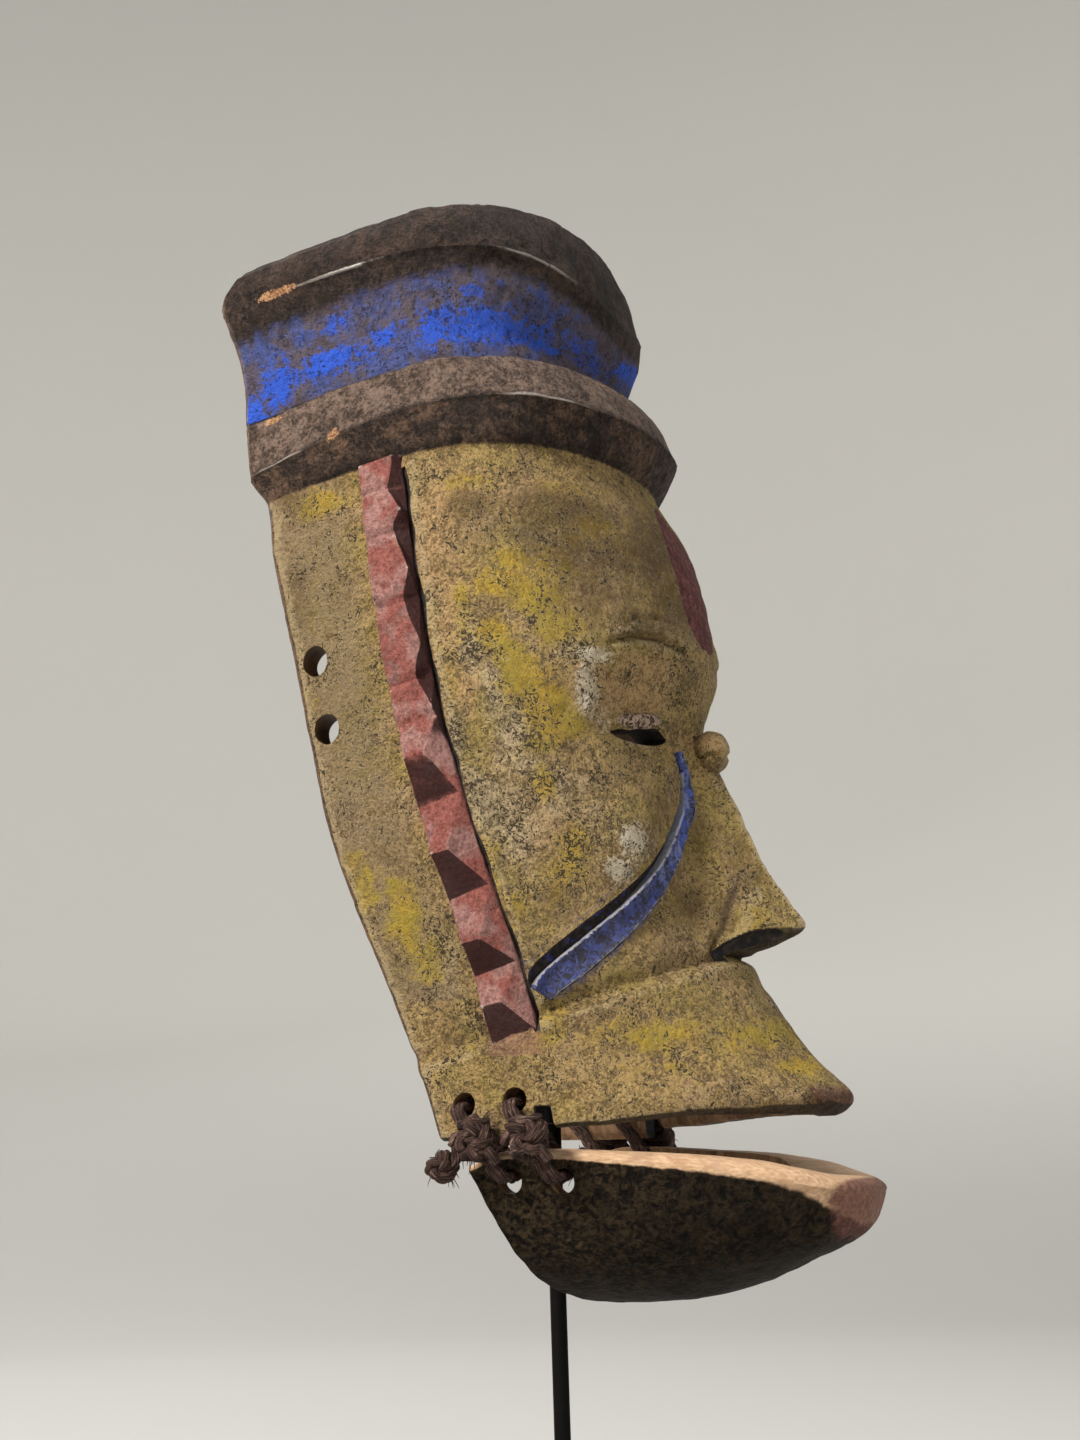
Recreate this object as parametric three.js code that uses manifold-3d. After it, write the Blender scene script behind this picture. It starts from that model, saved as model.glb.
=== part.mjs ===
// A carved wooden face mask with a banded hat and a separate lower jaw that is tied on with cords,
// held up by a round rod on a steel foot.
// Millimetres. +X is the way the face looks, +Y the mask's own left, +Z up.
// The origin is the centre of the foot's underside, and the rod stands on it.
import * as THREE from "three";
import { mergeVertices } from "three/addons/utils/BufferGeometryUtils.js";
import Module from "manifold-3d";

const wasm = await Module();
wasm.setup();

// Driving dimensions: the stand
const FOOT_SIDE = 130;
const FOOT_HEIGHT = 10;
const ROD_DIAMETER = 4.8;
const TOUCH = 0.3;
const ROD_TOP = 434.05;

// Driving dimensions: the mask. Heights are above the floor, read at the rod.
const RIM_HEIGHT = 176;
const HAT_TOP = 444;
const WALL_SIDE = 9.5;
const WALL_FRONT = 13;
const HOLLOW_TOP = 424;
const CEILING_RISE = 8;
const HAT_MIDDLE_X = -22;
const HOLLOW_MIDDLE_X = -40;
const BEYOND = 90;

// The share of each section that is the curved front; the rest is the straight sides behind it.
const ARC_SHARE = 0.7;

// Profiles of the outer skin by height: where the front, the widest place and the back edge lie,
// how wide the skin is there, and how round the front is in plan (2 is an ellipse).
const frontX = profile([
  [176, 86], [179, 89.6], [183, 90], [190, 85], [203, 75], [216, 66.5], [226, 60.5], [238, 55],
  [252, 52], [268, 50.5], [287, 49.5], [296, 51], [310, 54.6], [322, 54], [336, 51.5], [350, 46.5],
  [362, 40], [371, 36.5], [376, 39.5], [384, 42], [392, 39], [400, 30], [406, 26], [413, 28],
  [422, 31.5], [431, 31.5], [438, 29.5], [444, 25],
]);
const widestX = profile([[176, 14], [210, 10], [260, 0], [300, -8], [345, -14], [444, -18]]);
const backX = profile([
  [176, -15], [190, -19], [210, -26], [235, -35], [262, -43.5], [288, -48.5], [326, -55.5],
  [350, -60], [371, -62], [384, -67], [398, -68.5], [414, -69], [426, -72], [433, -75.5],
  [438, -75], [444, -71],
]);
const halfWidth = profile([
  [176, 54], [192, 54.5], [214, 56], [240, 62.5], [270, 67.5], [310, 69.5], [345, 68.5],
  [368, 66.5], [374, 68.5], [383, 71.5], [391, 70.5], [398, 68.5], [400, 67], [412, 65.8],
  [424, 66.5], [428, 68], [432, 70], [438, 69.5], [444, 66.5],
]);
const backHalfWidth = profile([[176, 53], [214, 54], [262, 61], [320, 63], [371, 62], [444, 64]]);
const planPower = profile([[176, 1.6], [226, 1.65], [290, 1.72], [340, 1.8], [371, 2], [444, 2]]);

// The hat's bands rise towards the front, and dip again right at the front.
const tilt = profile([[176, 0], [315, 0], [371, 0.14], [384, 0.2], [398, 0.175], [428, 0.17],
  [431, 0.12], [444, 0.165]]);
const frontDip = profile([[176, 0], [340, 0], [371, 5], [384, 9], [398, 2], [412, 9], [428, 17],
  [431, 13], [444, 1]]);

// The rim of the upper lip arches, and drops to the tab that carries the jaw.
const TAB_FRONT = 18;
const lipRim = profile([[-20, 0], [TAB_FRONT - 1, 0], [TAB_FRONT + 1, 2.4], [34, 3], [55, 4.6],
  [72, 4.8], [90, 4]]);

// The crease between face and muzzle, by the distance across the three-quarter view.
const VIEW_TURN = THREE.MathUtils.degToRad(20);
const creaseHeight = profile([[-36, 199.5], [-22, 203.5], [0, 210.5], [12, 214.5], [28, 219.5],
  [42, 223.5], [52, 227]]);

// Nose: a three-sided wedge from the knob down to a sharp tip
const NOSE_ROOT = 290;
const NOSE_BASE = 226.5;
const noseRidge = profile([[226.5, 62.5], [233, 79], [240, 76], [253, 68], [271.5, 60.2],
  [280, 56], [287, 53], [294, 51]]);
const noseHalfWidth = profile([[226, 15], [240, 12], [262, 8], [290, 5]]);
const KNOB = { x: 54, z: 287, radius: 6.2 };

// Eyes
const EYE = { across: 28.3, height: 289.4, halfLength: 8.4, halfOpening: 2.4 };
const SOCKET = { across: 31, height: 297, halfLength: 16, halfHeight: 19, depth: 2.2 };

// Notched side bands: each crest stands out, with a valley between it and the next
const BAND_CRESTS = [359, 349, 327, 305, 281, 254, 228, 212.5];
const BAND_ENDS = [367, 204];
const BAND_HALF_WIDTH = 6.4;
const bandX = profile([[204, 9.5], [228, 5], [265, -4.5], [300, -12], [335, -17.5], [367, -22]]);
const CREST_OUT = 4.4;
const VALLEY_OUT = 1.4;
const BAND_ROOT = 4;

// Blue ribs that run from the nose's root to the foot of the side bands
const RIB_RADIUS = 2.3;
const RIB_PATH = [
  [-13, 284], [-15.4, 270], [-24.5, 254], [-37.5, 241.5], [-49.3, 229.6], [-56, 215],
];

// Holes
const SIDE_HOLES = [{ x: -44.3, z: 312.5 }, { x: -41.1, z: 292.4 }];
const SIDE_HOLE_RADIUS = 4.4;
const TIES = [
  { name: "rear", top: { x: -6.2, z: 185.6 }, low: { x: 4.5, z: 164.6 } },
  { name: "front", top: { x: 8.9, z: 186.4 }, low: { x: 19.3, z: 164.2 } },
];
const TIE_HOLE_RADIUS = 3.4;
const CORD_RADIUS = 2.1;
const CORD_OUTER_Y = 57.8;
const CORD_INNER_Y = 38.5;
const KNOT = { x: 6.5, y: 3.6, z: 7.5 };
const KNOT_PLACE = 0.45;
const END_KNOT = { x: -16.5, y: 57, z: 169, radius: 5.4 };
const CORNER_NOTCH = { x: 18.8, width: 4, top: 184.5 };

// Jaw: a hollow scoop with an open stern
const JAW_AFT = -14;
const JAW_TIP = 96.9;
const JAW_KEEL_AFT = 0;
const JAW_KEEL_TIP = 88;
const JAW_HALF_WIDTH = 50.5;
const JAW_WALL = 6.5;
const JAW_FLOOR = 8;
const jawRim = profile([[-8, 169], [0, 172.2], [8, 173.3], [40, 171.6], [80, 168.1], [97, 163.6]]);
const jawKeel = profile([[0, 131.5], [12, 129.6], [25, 129], [43, 130], [54, 131.8], [65, 135.5],
  [75, 139.8], [84, 143.6], [90, 147.4]]);
// The stern's V in plan, which leaves the rod free: where its corner lies and how it flares.
const sternCorner = profile([[129, 18], [143, 19], [157, 19], [173, 17]]);
const sternFlare = profile([[129, 0.5], [143, 0.44], [157, 0.45], [173, 0.5]]);

// Colours
const COLOURS = {
  ochre: 0x8f7b45,
  jaw: 0x3a2f22,
  cord: 0x35241a,
  steel: 0x111111,
};

// A smooth curve through [place, value] knots, flat past its ends.
function profile(knots) {
  const slope = knots.map((knot, i) => {
    const a = knots[Math.max(i - 1, 0)];
    const b = knots[Math.min(i + 1, knots.length - 1)];
    return (b[1] - a[1]) / (b[0] - a[0]);
  });
  return (at) => {
    if (at <= knots[0][0]) return knots[0][1];
    const i = knots.findIndex((knot) => knot[0] >= at);
    if (i < 0) return knots.at(-1)[1];
    const [x0, y0] = knots[i - 1];
    const [x1, y1] = knots[i];
    const span = x1 - x0;
    const t = (at - x0) / span;
    const rise = t * t * (3 - 2 * t);
    const leave = t * (1 - t) * (1 - t) * span * slope[i - 1];
    const arrive = t * t * (t - 1) * span * slope[i];
    return y0 + (y1 - y0) * rise + leave + arrive;
  };
}

function smooth(from, to, at) {
  return THREE.MathUtils.smoothstep(at, from, to);
}

// One horizontal section: around runs from -1 (right back edge) over 0 (front) to 1 (left back).
function sectionPoint(level, around, inset = { side: 0, front: 0 }) {
  const side = Math.abs(around);
  const sign = Math.sign(around);
  const front = frontX(level) - inset.front;
  const middle = widestX(level);
  const half = halfWidth(level) - inset.side;
  if (side > ARC_SHARE) {
    const along = (side - ARC_SHARE) / (1 - ARC_SHARE);
    const backHalf = Math.min(backHalfWidth(level), halfWidth(level)) - inset.side;
    return {
      x: THREE.MathUtils.lerp(middle, backX(level), along),
      y: sign * THREE.MathUtils.lerp(half, backHalf, along * along),
      forward: 0,
    };
  }
  const angle = (side / ARC_SHARE) * (Math.PI / 2);
  const power = 2 / planPower(level);
  const forward = Math.cos(angle) ** power;
  return {
    x: middle + (front - middle) * forward,
    y: sign * half * Math.sin(angle) ** power,
    forward,
  };
}

function levelHeight(level, x, forward) {
  const rim = lipRim(x) * (1 - smooth(RIM_HEIGHT, 200, level));
  return level + rim + tilt(level) * x - frontDip(level) * forward ** 3;
}

function across(x, y) {
  return x * Math.cos(VIEW_TURN) - Math.abs(y) * Math.sin(VIEW_TURN);
}

// How far the carving stands out from the plain skin, or sinks into it.
function relief(point) {
  const q = across(point.x, point.y);
  const fromCrease = point.z - creaseHeight(q);
  const crease = -2.2 * Math.exp(-((fromCrease / 3) ** 2));
  const fromSocket = Math.hypot(
    (q - SOCKET.across) / SOCKET.halfLength,
    (point.z - SOCKET.height) / SOCKET.halfHeight,
  );
  const socket = -SOCKET.depth * (1 - smooth(0.3, 1.1, fromSocket));
  const cheek = 2.2 * Math.exp(-(((q - 27) / 14) ** 2) - ((point.z - 256) / 15) ** 2);
  return crease + socket + cheek;
}

function noseReach(point) {
  if (point.z < NOSE_BASE || point.z > NOSE_ROOT) return point.x;
  const share = 1 - Math.abs(point.y) / noseHalfWidth(point.z);
  if (share <= 0) return point.x;
  const lift = noseRidge(point.z) - point.x;
  return point.x + Math.max(lift, 0) * share ** 0.8;
}

// The carved outer skin of the mask at a level and a place around it.
function skinPoint(level, around) {
  const at = (l, a) => {
    const p = sectionPoint(l, a);
    return new THREE.Vector3(p.x, p.y, levelHeight(l, p.x, p.forward));
  };
  const point = at(level, around);
  const step = 0.004;
  const along = at(level, around + step).sub(at(level, around - step));
  const upward = at(level + 0.5, around).sub(at(level - 0.5, around));
  const normal = along.cross(upward).normalize();
  point.addScaledVector(normal, relief(point));
  point.x = noseReach(point);
  return point;
}

// Levels of the skin's rows, closer together where the carving is finer.
function rowLevels() {
  const stretches = [
    [176, 184, 2.7], [184, 208, 6], [208, 226, 4.5], [226, 235, 2.2], [235, 280, 9],
    [280, 320, 6.6], [320, 362, 10], [362, 404, 4.7], [404, 424, 7], [424, 434, 3.3],
    [434, 444, 3.3],
  ];
  const levels = [];
  for (const [low, high, spacing] of stretches) {
    const count = Math.round((high - low) / spacing);
    for (let i = 0; i < count; i++) levels.push(low + ((high - low) * i) / count);
  }
  return [...levels, HAT_TOP];
}

function columnPlaces(half, crowding) {
  const places = [];
  for (let i = -half; i <= half; i++) {
    places.push(Math.sign(i) * Math.abs(i / half) ** crowding);
  }
  return places;
}

// A closed solid from rings of points, each ring the same way round, from the bottom up.
function loft(rings) {
  const count = rings[0].length;
  const position = rings.flat().flatMap((p) => [p.x, p.y, p.z]);
  const index = [];
  for (let row = 0; row + 1 < rings.length; row++) {
    for (let i = 0; i < count; i++) {
      const a = row * count + i;
      const b = row * count + ((i + 1) % count);
      index.push(a, b, b + count, a, b + count, a + count);
    }
  }
  const closeWith = (ring, first, turned) => {
    const centre = ring.reduce((sum, p) => sum.add(p), new THREE.Vector3());
    centre.divideScalar(count);
    const middle = position.length / 3;
    position.push(centre.x, centre.y, centre.z);
    for (let i = 0; i < count; i++) {
      const pair = [first + i, first + ((i + 1) % count)];
      index.push(middle, ...(turned ? pair.reverse() : pair));
    }
  };
  closeWith(rings[0], 0, true);
  closeWith(rings.at(-1), (rings.length - 1) * count, false);
  return solid(new THREE.BufferGeometry()
    .setAttribute("position", new THREE.Float32BufferAttribute(position, 3))
    .setIndex(index));
}

function solid(geometry) {
  geometry.deleteAttribute("normal");
  geometry.deleteAttribute("uv");
  const merged = mergeVertices(geometry, 1e-3);
  return new wasm.Manifold(new wasm.Mesh({
    numProp: 3,
    vertProperties: new Float32Array(merged.attributes.position.array),
    triVerts: new Uint32Array(merged.index.array),
  }));
}

function meshOf(manifold, name, colour, roughness, metalness) {
  const { vertProperties, triVerts } = manifold.getMesh();
  const geometry = new THREE.BufferGeometry()
    .setAttribute("position", new THREE.BufferAttribute(vertProperties, 3))
    .setIndex(new THREE.BufferAttribute(triVerts, 1));
  geometry.computeVertexNormals();
  const material = new THREE.MeshStandardMaterial({ color: colour, roughness, metalness });
  const mesh = new THREE.Mesh(geometry, material);
  mesh.name = name;
  return mesh;
}

function shrink(ring, centreX, share, rise) {
  return ring.map((p) => new THREE.Vector3(
    centreX + (p.x - centreX) * share,
    p.y * share,
    p.z + rise,
  ));
}

function outerBlock() {
  const places = columnPlaces(16, 1.15);
  const rings = rowLevels().map((level) => places.map((place) => skinPoint(level, place)));
  const top = rings.at(-1);
  for (const [share, rise] of [[0.96, 3], [0.86, 5.5], [0.5, 7.5]]) {
    rings.push(shrink(top, HAT_MIDDLE_X, share, rise));
  }
  return loft(rings);
}

function hollow() {
  const inset = { side: WALL_SIDE, front: WALL_FRONT };
  const places = columnPlaces(10, 1.1);
  const ringAt = (level, height) => {
    const ring = places.map((place) => {
      const p = sectionPoint(level, place, inset);
      return new THREE.Vector3(p.x, p.y, height + tilt(level) * p.x);
    });
    const back = 30;
    const behind = (p) => new THREE.Vector3(p.x - back, p.y, p.z - back * tilt(level));
    return [behind(ring[0]), ...ring, behind(ring.at(-1))];
  };
  const belowRim = 16;
  const levels = [176, 186, 198, 212, 228, 248, 270, 292, 315, 340, 360, 380, 402, 418, HOLLOW_TOP];
  const rings = levels.map((level) => ringAt(level, level));
  rings.unshift(ringAt(RIM_HEIGHT, RIM_HEIGHT - belowRim));
  const top = rings.at(-1);
  for (const [share, rise] of [[0.96, 2], [0.86, 6], [0.6, CEILING_RISE]]) {
    rings.push(shrink(top, HOLLOW_MIDDLE_X, share, rise));
  }
  return loft(rings);
}

// A round hole's cutter, through both side walls.
function crossHole(x, z, radius) {
  const geometry = new THREE.CylinderGeometry(radius, radius, 2 * BEYOND, 12);
  geometry.translate(x, 0, z);
  return solid(geometry);
}

function bothSides(make) {
  return [-1, 1].map((side) => make(side));
}

// The almond opening of an eye, cut in along the skin's own normal.
function eyeOpening(side) {
  const place = eyePlace();
  const centre = skinPoint(EYE.height, side * place);
  const ahead = skinPoint(EYE.height, side * (place - 0.03));
  const along = ahead.clone().sub(centre).setZ(0).normalize();
  const out = new THREE.Vector3(along.y, -along.x, 0);
  if (out.x < 0) out.negate();
  const half = EYE.halfLength * 1.25;
  const shape = new THREE.Shape();
  shape.moveTo(-half, 0);
  shape.quadraticCurveTo(0, EYE.halfOpening * 2, half, 0);
  shape.quadraticCurveTo(0, -EYE.halfOpening * 2, -half, 0);
  const geometry = new THREE.ExtrudeGeometry(shape, {
    depth: 40, bevelEnabled: false, curveSegments: 5,
  });
  geometry.translate(0, 0, -20);
  const up = new THREE.Vector3(0, 0, 1);
  const sideways = new THREE.Vector3().crossVectors(up, out);
  geometry.applyMatrix4(new THREE.Matrix4().makeBasis(sideways, up, out));
  geometry.translate(centre.x, centre.y, centre.z);
  return solid(geometry);
}

// Finds the place around the section where the eye's distance across the view is reached.
function eyePlace() {
  let low = 0;
  let high = ARC_SHARE;
  for (let i = 0; i < 30; i++) {
    const middle = (low + high) / 2;
    const p = sectionPoint(EYE.height, middle);
    if (across(p.x, p.y) > EYE.across) low = middle;
    else high = middle;
  }
  return low;
}

// The half width of the plain skin at a height and an x, on the straight side walls.
function sideAt(x, height) {
  let low = 0;
  let high = 1;
  for (let i = 0; i < 30; i++) {
    const middle = (low + high) / 2;
    if (sectionPoint(height, middle).x > x) low = middle;
    else high = middle;
  }
  return sectionPoint(height, low).y;
}

// A notched band: a ridge whose long facets face up and out, and whose short ones face down.
function notchedBand(side) {
  const stations = [{ z: BAND_ENDS[0], out: VALLEY_OUT }];
  BAND_CRESTS.forEach((crest, i) => {
    const next = BAND_CRESTS[i + 1] ?? BAND_ENDS[1];
    stations.push({ z: crest, out: CREST_OUT });
    stations.push({ z: THREE.MathUtils.lerp(crest, next, 0.4), out: VALLEY_OUT });
  });
  stations.push({ z: BAND_ENDS[1], out: VALLEY_OUT - 0.6 });
  const rings = stations.reverse().map(({ z, out }) => {
    const middle = bandX(z);
    const level = z - tilt(z) * middle;
    const corner = (dx, dy) => {
      const x = middle + dx;
      return new THREE.Vector3(x, side * (sideAt(x, level) + dy), z);
    };
    const ring = [
      corner(-BAND_HALF_WIDTH, -BAND_ROOT),
      corner(-BAND_HALF_WIDTH, out * 0.45),
      corner(-BAND_HALF_WIDTH * 0.8, out),
      corner(BAND_HALF_WIDTH * 0.45, out),
      corner(BAND_HALF_WIDTH, out * 0.2),
      corner(BAND_HALF_WIDTH, -BAND_ROOT),
    ];
    return side > 0 ? ring.reverse() : ring;
  });
  return loft(rings);
}

// The blue rib, a round bar half sunk in the skin.
function rib(side) {
  const points = RIB_PATH.map(([y, z]) => {
    let low = 0;
    let high = 1;
    for (let i = 0; i < 30; i++) {
      const middle = (low + high) / 2;
      if (skinPoint(z, middle).y < -y) low = middle;
      else high = middle;
    }
    const p = skinPoint(z, low);
    return new THREE.Vector3(p.x, side * p.y, p.z);
  });
  const shape = new THREE.Shape();
  shape.absarc(0, 0, RIB_RADIUS, 0, 2 * Math.PI);
  return solid(new THREE.ExtrudeGeometry(shape, {
    extrudePath: new THREE.CatmullRomCurve3(points), steps: 14, curveSegments: 3,
  }));
}

function carvedMask() {
  let block = outerBlock();
  const knob = new THREE.SphereGeometry(KNOB.radius, 12, 8);
  knob.translate(KNOB.x, 0, KNOB.z);
  const added = [solid(knob), ...bothSides(notchedBand), ...bothSides(rib)];
  for (const piece of added) block = block.add(piece);
  const cuts = [hollow(), ...bothSides(eyeOpening)];
  for (const hole of SIDE_HOLES) {
    cuts.push(crossHole(hole.x, hole.z, SIDE_HOLE_RADIUS));
  }
  for (const tie of TIES) cuts.push(crossHole(tie.top.x, tie.top.z, TIE_HOLE_RADIUS));
  const notchHeight = 40;
  const { width, top } = CORNER_NOTCH;
  const notch = new THREE.BoxGeometry(width, 2 * BEYOND, notchHeight);
  notch.translate(CORNER_NOTCH.x, 0, top - notchHeight / 2);
  cuts.push(solid(notch));
  for (const cut of cuts) block = block.subtract(cut);
  return block;
}

// Plan of the jaw at its rim: around runs from -1 (right stern) over 0 (tip) to 1 (left stern).
function jawPlan(around, inset) {
  const angle = Math.abs(around) * (Math.PI / 2);
  const power = 2 / 1.75;
  const aft = JAW_AFT - inset;
  const length = JAW_TIP - inset * 1.6 - aft;
  return {
    x: aft + length * Math.cos(angle) ** power,
    y: Math.sign(around) * (JAW_HALF_WIDTH - inset) * Math.sin(angle) ** (power * 0.55),
  };
}

// The hull's skin: depth runs from 0 at the rim to 1 at the keel.
function hull(inset, floor, rise) {
  const places = columnPlaces(12, 0.9);
  const rings = [];
  const depths = [1, 0.9, 0.76, 0.6, 0.44, 0.28, 0.13, 0];
  for (const depth of depths) {
    const inward = 1 - Math.cos((depth * Math.PI) / 2);
    const down = Math.sin((depth * Math.PI) / 2);
    rings.push(places.map((place) => {
      const rim = jawPlan(place, inset);
      const share = (rim.x - JAW_AFT) / (JAW_TIP - JAW_AFT);
      const keelX = THREE.MathUtils.lerp(JAW_KEEL_AFT, JAW_KEEL_TIP, share);
      const rimZ = jawRim(rim.x);
      const keelZ = jawKeel(keelX) + floor;
      return new THREE.Vector3(
        THREE.MathUtils.lerp(rim.x, keelX, inward),
        rim.y * (1 - inward * 0.96),
        THREE.MathUtils.lerp(rimZ, keelZ, down),
      );
    }));
  }
  if (rise > 0) rings.push(rings.at(-1).map((p) => new THREE.Vector3(p.x, p.y, p.z + rise)));
  return loft(rings);
}

// What is cut away behind the jaw's stern.
function sternCut() {
  const reach = 70;
  const rings = [120, 129, 143, 157, 173, 200].map((z) => {
    const half = [60, 40, 20, 8, 3].map((y) => {
      const x = sternCorner(z) - sternFlare(z) * Math.hypot(y, 4);
      return new THREE.Vector3(x, y, z);
    });
    const other = half.map((p) => new THREE.Vector3(p.x, -p.y, p.z)).reverse();
    const behind = [-60, 60].map((y) => new THREE.Vector3(-reach, y, z));
    return [...half, ...other, ...behind].reverse();
  });
  return loft(rings);
}

function carvedJaw() {
  let jaw = hull(0, 0, 0).subtract(hull(JAW_WALL, JAW_FLOOR, 20)).subtract(sternCut());
  for (const tie of TIES) {
    jaw = jaw.subtract(crossHole(tie.low.x, tie.low.z, TIE_HOLE_RADIUS));
  }
  return jaw;
}

// A cord tied in a loop through a hole of the mask and the hole of the jaw below it.
function lashing(side, tie) {
  const corner = (end, y) => new THREE.Vector3(end.x, side * y, end.z);
  const middle = (CORD_OUTER_Y + CORD_INNER_Y) / 2;
  const path = new THREE.CatmullRomCurve3([
    corner(tie.top, middle),
    corner(tie.top, CORD_OUTER_Y - 1),
    corner(between(tie, 0.25), CORD_OUTER_Y),
    corner(between(tie, 0.75), CORD_OUTER_Y),
    corner(tie.low, CORD_OUTER_Y - 1),
    corner(tie.low, middle),
    corner(tie.low, CORD_INNER_Y),
    corner(between(tie, 0.5), CORD_INNER_Y),
    corner(tie.top, CORD_INNER_Y),
  ], true, "centripetal");
  const steps = 18;
  const sides = 6;
  const frames = path.computeFrenetFrames(steps, true);
  const position = [];
  const index = [];
  for (let i = 0; i < steps; i++) {
    const centre = path.getPointAt(i / steps);
    for (let j = 0; j < sides; j++) {
      const angle = (j / sides) * 2 * Math.PI;
      const p = centre.clone()
        .addScaledVector(frames.normals[i], Math.cos(angle) * CORD_RADIUS)
        .addScaledVector(frames.binormals[i], Math.sin(angle) * CORD_RADIUS);
      position.push(p.x, p.y, p.z);
      const a = i * sides + j;
      const b = i * sides + ((j + 1) % sides);
      const ahead = ((i + 1) % steps) * sides - i * sides;
      index.push(a, b, b + ahead, a, b + ahead, a + ahead);
    }
  }
  const loop = solid(new THREE.BufferGeometry()
    .setAttribute("position", new THREE.Float32BufferAttribute(position, 3))
    .setIndex(index));
  const at = between(tie, KNOT_PLACE);
  const knot = new THREE.SphereGeometry(1, 9, 6);
  knot.scale(KNOT.x, KNOT.y, KNOT.z);
  knot.translate(at.x, side * (CORD_OUTER_Y + CORD_RADIUS), at.z);
  return loop.add(solid(knot));
}

// The rear cord's end: a short length that stands out behind the mask, with a stopper knot.
function cordEnd(side, tie) {
  const start = between(tie, KNOT_PLACE);
  const from = new THREE.Vector3(start.x, side * CORD_OUTER_Y, start.z);
  const to = new THREE.Vector3(END_KNOT.x, side * END_KNOT.y, END_KNOT.z);
  const strand = new THREE.CylinderGeometry(CORD_RADIUS, CORD_RADIUS, from.distanceTo(to), 6);
  const up = new THREE.Vector3(0, 1, 0);
  const along = to.clone().sub(from).normalize();
  strand.applyQuaternion(new THREE.Quaternion().setFromUnitVectors(up, along));
  const middle = from.clone().lerp(to, 0.5);
  strand.translate(middle.x, middle.y, middle.z);
  const ball = new THREE.SphereGeometry(END_KNOT.radius, 9, 6);
  ball.translate(to.x, to.y, to.z);
  return solid(strand).add(solid(ball));
}

function between(tie, share) {
  return {
    x: THREE.MathUtils.lerp(tie.top.x, tie.low.x, share),
    z: THREE.MathUtils.lerp(tie.top.z, tie.low.z, share),
  };
}

function foot() {
  const geometry = new THREE.BoxGeometry(FOOT_SIDE, FOOT_SIDE, FOOT_HEIGHT);
  geometry.translate(0, 0, FOOT_HEIGHT / 2);
  return solid(geometry);
}

// The rod runs from the foot up to the ceiling of the mask's hollow, which rests on it.
function rod() {
  const bottom = FOOT_HEIGHT + TOUCH;
  const radius = ROD_DIAMETER / 2;
  const geometry = new THREE.CylinderGeometry(radius, radius, ROD_TOP - bottom, 16);
  geometry.rotateX(Math.PI / 2);
  geometry.translate(0, 0, (bottom + ROD_TOP) / 2);
  return solid(geometry);
}

const object = new THREE.Group();
object.add(meshOf(carvedMask(), "mask", COLOURS.ochre, 0.75, 0));
object.add(meshOf(carvedJaw(), "jaw", COLOURS.jaw, 0.8, 0));
for (const [side, word] of [[-1, "right"], [1, "left"]]) {
  for (const tie of TIES) {
    let cord = lashing(side, tie);
    if (tie.name === "rear") cord = cord.add(cordEnd(side, tie));
    object.add(meshOf(cord, `lashing_${word}_${tie.name}`, COLOURS.cord, 0.9, 0));
  }
}
object.add(meshOf(rod(), "rod", COLOURS.steel, 0.5, 0.8));
object.add(meshOf(foot(), "foot", COLOURS.steel, 0.5, 0.8));

export default object;
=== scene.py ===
"""Builds the looks of a carved wooden mask with a tied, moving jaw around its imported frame.

Lengths in the shape functions are millimetres; meshes are made in metres.
+X is the way the face looks, +Y the mask's own left, +Z up.
"""

import math

import bmesh
import bpy
import numpy as np
from bpy.props import FloatProperty, FloatVectorProperty, IntProperty, PointerProperty
from mathutils import Matrix, Vector, kdtree, noise


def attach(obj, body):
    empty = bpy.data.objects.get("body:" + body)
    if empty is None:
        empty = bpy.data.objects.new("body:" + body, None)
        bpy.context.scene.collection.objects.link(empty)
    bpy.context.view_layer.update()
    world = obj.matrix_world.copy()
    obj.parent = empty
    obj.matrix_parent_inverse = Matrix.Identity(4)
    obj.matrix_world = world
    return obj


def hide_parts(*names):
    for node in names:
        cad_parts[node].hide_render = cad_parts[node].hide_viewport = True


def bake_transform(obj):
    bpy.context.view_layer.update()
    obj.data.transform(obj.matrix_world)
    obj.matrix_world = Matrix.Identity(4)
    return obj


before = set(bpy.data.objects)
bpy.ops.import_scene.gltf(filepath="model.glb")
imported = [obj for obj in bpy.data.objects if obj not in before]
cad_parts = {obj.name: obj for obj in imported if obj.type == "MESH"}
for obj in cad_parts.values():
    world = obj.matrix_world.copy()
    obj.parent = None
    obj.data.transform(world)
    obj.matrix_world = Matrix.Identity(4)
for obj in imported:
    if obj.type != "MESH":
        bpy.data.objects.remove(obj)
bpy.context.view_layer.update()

bl_info = {
    "name": "Carved Mask",
    "version": (1, 0, 0),
    "blender": (4, 5, 0),
    "location": "3D View > Sidebar > Mask",
    "description": "Builds a painted wooden mask with a tied, moving jaw on a rod stand",
    "category": "Add Mesh",
}

MM = 0.001


# ---------------------------------------------------------------- curves and noise


def curve(knots):
    """A smooth curve through (place, value) knots, flat past its ends, that takes arrays."""
    places, values = np.array(knots, float).T
    before = np.maximum(np.arange(len(places)) - 1, 0)
    after = np.minimum(np.arange(len(places)) + 1, len(places) - 1)
    slopes = (values[after] - values[before]) / (places[after] - places[before])

    def at(place):
        place = np.clip(place, places[0], places[-1])
        i = np.clip(np.searchsorted(places, place), 1, len(places) - 1)
        span = places[i] - places[i - 1]
        t = (place - places[i - 1]) / span
        rise = t * t * (3 - 2 * t)
        leave = t * (1 - t) ** 2 * span * slopes[i - 1]
        arrive = t * t * (t - 1) * span * slopes[i]
        return values[i - 1] + (values[i] - values[i - 1]) * rise + leave + arrive

    return at


def step(low, high, value):
    """0 below low, 1 above high, smooth between."""
    t = np.clip((value - low) / (high - low), 0, 1)
    return t * t * (3 - 2 * t)


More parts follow.
